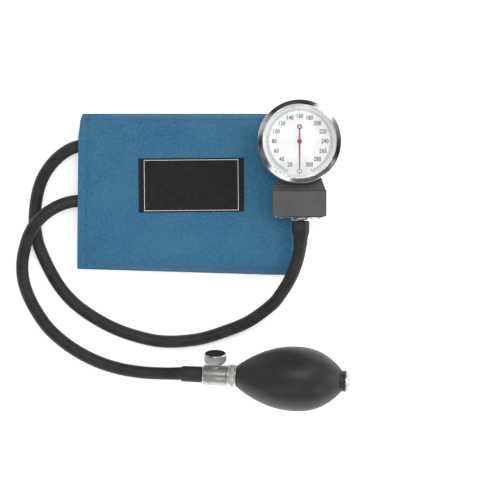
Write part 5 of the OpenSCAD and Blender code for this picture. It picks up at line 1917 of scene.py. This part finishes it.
def make_collar():
    """Collar between valve and bulb: two plain rims with a knurled band between them."""
    count = bpy.context.scene.valve_look.collar_ridges
    nickel = finish_of("collar_nickel")
    r = COLLAR_R
    inside = r - 1.75
    groove = r - 0.45
    band = r - 0.28
    low = -COLLAR_L
    core = lathe("collar_core", fillet([
        (inside, low, 0), (r - 0.5, low, 0.2), (r, low + 0.4, 0.2), (r, low + 1.3, 0.15),
        (groove, low + 1.6, 0.1), (groove, low + 2.0, 0.1), (band, low + 2.1, 0), (band, -1.9, 0),
        (groove, -1.7, 0.1), (groove, -1.3, 0.1), (r, -1.0, 0.15), (r, -0.3, 0.2), (r - 0.3, 0, 0.2),
        (5.55, 0, 0), (5.55, -1.2, 0), (inside, -1.2, 0)]), BULB, nickel, 112, 35)
    knurl = ridge("collar_knurl", r - 0.3, low + 2.1, -1.9, 2 * math.pi * r / count * 0.98)
    repeated(knurl, count, 0, 360 / count, nickel, BULB)
    collar = joined("valve_collar_ring", [core, knurl], crease=40)
    stand_for(collar, "collar_nickel", "valve_collar")


def make_knob():
    """Knurled knob: rounded rim, ridges down its side, a bevelled foot, and a black disc in its top that is
    a painted dark reflection.
    """
    count = bpy.context.scene.valve_look.knob_ridges
    chrome = finish_of("knob_chrome")
    r = KNOB_R - 0.32
    low = KNOB_Z
    high = KNOB_Z + KNOB_H
    stem_r = 2.05
    stem_top = high - 2.59
    face_r = r - 0.8
    core = lathe("knob_core", fillet([
        (stem_r, low, 0.1), (r - 4.4, low, 0.5), (r - 0.9, low + 1.1, 1.2), (r, low + 3.4, 1.2),
        (r, high - 0.9, 0.3), (r - 0.4, high, 0.3), (r - 0.6, high, 0.1), (face_r, high - 0.3, 0.1),
        (0, high - 0.3, 0), (0, stem_top, 0), (stem_r, stem_top, 0)]), KNOB, chrome, 128, 35)
    side = ridge("knob_knurl", r, low + 2.9, high - 1.0, 2 * math.pi * r / count * 0.9)
    repeated(side, count, 0, 360 / count, chrome, KNOB)
    knob = joined("knob_knurled", [core, side], crease=38)
    stand_for(knob, "knob_chrome", "release_knob")
    # Black disc in the top: painted reflection of the dark hose behind the knob, in place of chrome that
    # mirrors it.
    black = hard_coat("knob_painted_reflection", (0.012, 0.012, 0.013), 0.5, 2500.0, shine=0.12)
    outline = fillet([
        (0, high - 0.28, 0), (face_r, high - 0.28, 0), (face_r, high - 0.1, 0.1), (0, high - 0.1, 0)])
    face = lathe("knob_painted_reflection_disc", outline, KNOB, black, 96)
    ride_with(face, "release_knob")


class PRESSURE_OT_valve(bpy.types.Operator):
    """Nickel release valve between hose and bulb, with its collar and knurled knob"""

    bl_idname = "pressure.valve"
    bl_label = "Release valve"

    def execute(self, context):
        make_valve_body()
        make_collar()
        make_knob()
        dress("valve_nipple", "bulb_spigot", "outlet_disc", "release_needle", "needle_seal")
        return {"FINISHED"}


# Hand bulb
TAIL_ROOT_R = TAIL_R + 0.9
INLET_R = 5.6


def bulb_radius(x):
    """Outside radius of the bulb's belly."""
    if x < BELLY_X:
        u = 1 - x / BELLY_X
        return NECK_R + (BELLY_R - NECK_R) * (1 - u * u)
    u = (x - BELLY_X) / (TAIL_X - BELLY_X)
    return TAIL_ROOT_R + (BELLY_R - TAIL_ROOT_R) * (1 - u ** 2.5)


def parting_line(radius, height, a):
    """Lift of the mould's parting line at two opposite meridians, in millimetres."""
    seam_turn = 25
    seam_half = 0.7
    if radius < 7 or height < 1:
        return 0.0
    off = abs(math.sin(a - math.radians(seam_turn))) * radius
    return bpy.context.scene.bulb_look.seam_height / MM * math.exp(-(off / seam_half) ** 2)


def make_bulb():
    """Hollow rubber bulb: neck, belly, narrow tail, and its inside from the tail back to the neck."""
    mouth_r = 5.5
    outline = [Vector((mouth_r, 0.05)), Vector((NECK_R - 0.5, 0.05)), Vector((NECK_R, 0.5))]
    outline += [Vector((bulb_radius(x), x)) for x in steps(1.2, TAIL_X - 0.4, 60)]
    outline += fillet([
        (TAIL_ROOT_R, TAIL_X - 0.5, 0), (TAIL_R + 0.4, TAIL_X + 0.6, 0.9), (TAIL_R + 0.3, TAIL_X + 2.0, 0.6),
        (TAIL_R + 0.5, BULB_L - 1.2, 0.5), (TAIL_R + 0.3, BULB_L, 0.4), (INLET_R, BULB_L, 0)], False)
    outline.append(Vector((INLET_R, BULB_L - 11)))
    outline += [Vector((bulb_radius(x) - BULB_WALL, x)) for x in steps(TAIL_X - 9, 15, 24)]
    outline.append(Vector((mouth_r, 13.9)))
    bulb = lathe("bulb_rubber_skin", outline, BULB, finish_of("bulb_rubber"), 168, 45, parting_line)
    stand_for(bulb, "bulb_rubber", "bulb")


def make_inlet_cap():
    """Silver ring round the air inlet at the bulb's tail."""
    hole = 2.2
    outline = fillet([
        (hole, BULB_L + 0.01, 0), (TAIL_R, BULB_L + 0.01, 0.1), (TAIL_R, BULB_L + 0.5, 0.3),
        (5.8, BULB_L + 2.2, 0.6), (4.2, BULB_L + 2.1, 0.4), (3, BULB_L + 1, 0.3), (hole, BULB_L + 1, 0.1)])
    cap = lathe("inlet_cap_ring", outline, BULB, finish_of("cap_silver"), 96, 35)
    stand_for(cap, "fitting_chrome", "inlet_cap")


class PRESSURE_OT_bulb(bpy.types.Operator):
    """Rubber hand bulb with the air inlet in its tail"""

    bl_idname = "pressure.bulb"
    bl_label = "Hand bulb"

    def execute(self, context):
        make_bulb()
        make_inlet_cap()
        dress("inlet_body", "inlet_disc")
        return {"FINISHED"}


# Studio
SOFTBOX_FAR = 1.3
CAMERA_UP = 12.0
CAMERA_LENS = 1120.7
CAMERA_PLAN = (0.0282, 0.0041)

# Softboxes: name, turn and height in degrees, both sides in metres, share of the watts
SOFTBOXES = (
    ("key_softbox", 50, 45, (0.46, 0.95), 1.0), ("left_softbox", -120, 42, (0.62, 0.9), 0.9),
    ("low_softbox", -50, 31, (0.16, 0.16), 0.7), ("far_softbox", 158, 34, (0.3, 0.3), 0.15),
    ("top_softbox", 90, 77, (0.6, 0.2), 1.6))

# Pale places on the walls, only seen in reflections: turn, height and spread in degrees, radiance
WALL_GLOWS = (
    (20, 49, 13, 0.30), (-34, 44, 7, 0.5), (-82, 48, 26, 0.12), (108, 48, 16, 0.07), (153, 44, 15, 0.5),
    (-161, 46, 10, 0.2), (-90, 16, 16, 0.08), (0, 14, 26, 0.47))
# The upper walls' colour is 1/80, so a glow's strength is 80 times its radiance
GLOW_GAIN = 80.0


def softbox(name, turn, height, size, watts):
    """An area light that looks at the object from a compass turn and a height, both in degrees."""
    light = bpy.data.lights.new(name, "AREA")
    light.shape = "RECTANGLE"
    light.size = size[0]
    light.size_y = size[1]
    light.energy = watts
    obj = linked(name, light)
    way = direction(turn, height)
    obj.location = Vector((0.0, 0.0, 0.02)) + way * SOFTBOX_FAR
    obj.rotation_euler = way.to_track_quat("Z", "Y").to_euler()
    obj.visible_camera = False


def wall_glow(tree, way, turn, height, spread, radiance):
    """A soft round glow in one direction."""
    inputs = {0: way, 1: direction(turn, height)}
    toward = add(tree, "ShaderNodeVectorMath", inputs, operation="DOT_PRODUCT").outputs["Value"]
    return stretch(tree, toward, math.cos(math.radians(spread)), 1.0, 0.0, radiance)


def make_sky(fill):
    """Pale surroundings for the camera, even fill for the surfaces, and darker walls for the reflections."""
    world = bpy.data.worlds.new("Studio")
    bpy.context.scene.world = world
    world.use_nodes = True
    tree = world.node_tree
    tree.nodes.clear()
    path = add(tree, "ShaderNodeLightPath").outputs
    way = add(tree, "ShaderNodeTexCoord").outputs["Generated"]
    height = add(tree, "ShaderNodeSeparateXYZ", {0: way}).outputs[2]
    walls = add(tree, "ShaderNodeValToRGB", {0: stretch(tree, height, -1.0, 1.0)})
    walls.color_ramp.elements[0].position = 0.45
    walls.color_ramp.elements[0].color = (0.18, 0.18, 0.185, 1)
    walls.color_ramp.elements[1].position = 0.75
    walls.color_ramp.elements[1].color = (0.012, 0.012, 0.0125, 1)
    level = stretch(tree, noise_value(tree, way, 1.7, 2.0), 0.35, 0.65, 0.15, 1.9)
    for glow in WALL_GLOWS:
        level = math_node(tree, "ADD", level, times(tree, wall_glow(tree, way, *glow), GLOW_GAIN))
    mirror = add(tree, "ShaderNodeBackground", {0: walls.outputs[0], 1: level}).outputs[0]
    even = add(tree, "ShaderNodeBackground", {0: (1, 1, 1, 1), 1: fill}).outputs[0]
    pale = add(tree, "ShaderNodeBackground", {0: (0.93, 0.93, 0.93, 1), 1: 1.0}).outputs[0]
    spread = math_node(tree, "MAXIMUM", path["Is Diffuse Ray"], path["Is Transmission Ray"])
    lit = add(tree, "ShaderNodeMixShader", {0: spread, 1: mirror, 2: even}).outputs[0]
    seen = add(tree, "ShaderNodeMixShader", {0: path["Is Camera Ray"], 1: lit, 2: pale}).outputs[0]
    add(tree, "ShaderNodeOutputWorld", {0: seen})


def make_floor(colour):
    under = -0.0002
    lines = steps(-6, 6, 13)
    rows = [[Vector((x, y, under)) for y in lines] for x in lines]
    floor = grid_object("studio_floor", rows, studio_paper("studio_paper", colour))


def make_camera():
    camera = bpy.data.cameras.new("Camera")
    camera.sensor_width = 36
    camera.lens = CAMERA_LENS
    camera.clip_end = 100
    eye = linked("Camera", camera)
    eye.location = (*CAMERA_PLAN, CAMERA_UP)
    bpy.context.scene.camera = eye


class PRESSURE_OT_stage(bpy.types.Operator):
    """Camera straight above the set, pale floor and soft studio light"""

    bl_idname = "pressure.stage"
    bl_label = "Stage"

    def execute(self, context):
        look = context.scene.stage_look
        make_camera()
        context.scene.view_settings.view_transform = "Standard"
        make_floor(look.floor_colour)
        make_sky(look.fill)
        for name, turn, height, size, share in SOFTBOXES:
            softbox(name, turn, height, size, look.softbox * share)
        return {"FINISHED"}


# Add-on
class PRESSURE_PT_set(bpy.types.Panel):
    """Pieces of the pressure set, in the order in which they are made"""

    bl_label = "Pressure Set"
    bl_idname = "PRESSURE_PT_set"
    bl_space_type = "VIEW_3D"
    bl_region_type = "UI"
    bl_category = "Pressure Set"

    def draw(self, context):
        scene = context.scene
        groups = {
            "stage": ("stage",), "hose": ("hoses",), "cuff": ("cuff", "bladder", "patches", "strap"),
            "label": ("label",), "gauge": ("case", "bezel", "dial", "pointer", "movement", "nipple"),
            "valve": ("valve",), "bulb": ("bulb",)}
        for group, pieces in groups.items():
            box = self.layout.box()
            look = getattr(scene, group + "_look")
            for name in look.__annotations__:
                box.prop(look, name)
            for piece in pieces:
                box.operator("pressure." + piece)


LOOKS = {
    "cuff_look": CuffLook, "label_look": LabelLook, "hose_look": HoseLook, "gauge_look": GaugeLook,
    "valve_look": ValveLook, "bulb_look": BulbLook, "stage_look": StageLook,
}
OPERATORS = (
    PRESSURE_OT_stage, PRESSURE_OT_hoses, PRESSURE_OT_cuff, PRESSURE_OT_bladder, PRESSURE_OT_patches,
    PRESSURE_OT_label, PRESSURE_OT_strap, PRESSURE_OT_case, PRESSURE_OT_bezel, PRESSURE_OT_dial,
    PRESSURE_OT_pointer, PRESSURE_OT_movement, PRESSURE_OT_nipple, PRESSURE_OT_valve, PRESSURE_OT_bulb,
)


def register():
    for look in LOOKS.values():
        bpy.utils.register_class(look)
    for name, look in LOOKS.items():
        setattr(bpy.types.Scene, name, PointerProperty(type=look))
    for operator in OPERATORS:
        bpy.utils.register_class(operator)
    bpy.utils.register_class(PRESSURE_PT_set)


def unregister():
    bpy.utils.unregister_class(PRESSURE_PT_set)
    for operator in reversed(OPERATORS):
        bpy.utils.unregister_class(operator)
    for name in LOOKS:
        delattr(bpy.types.Scene, name)
    for look in reversed(LOOKS.values()):
        bpy.utils.unregister_class(look)


def main():
    register()
    for operator in OPERATORS:
        group, name = operator.bl_idname.split(".")
        getattr(getattr(bpy.ops, group), name)()


if __name__ == "__main__":
    main()
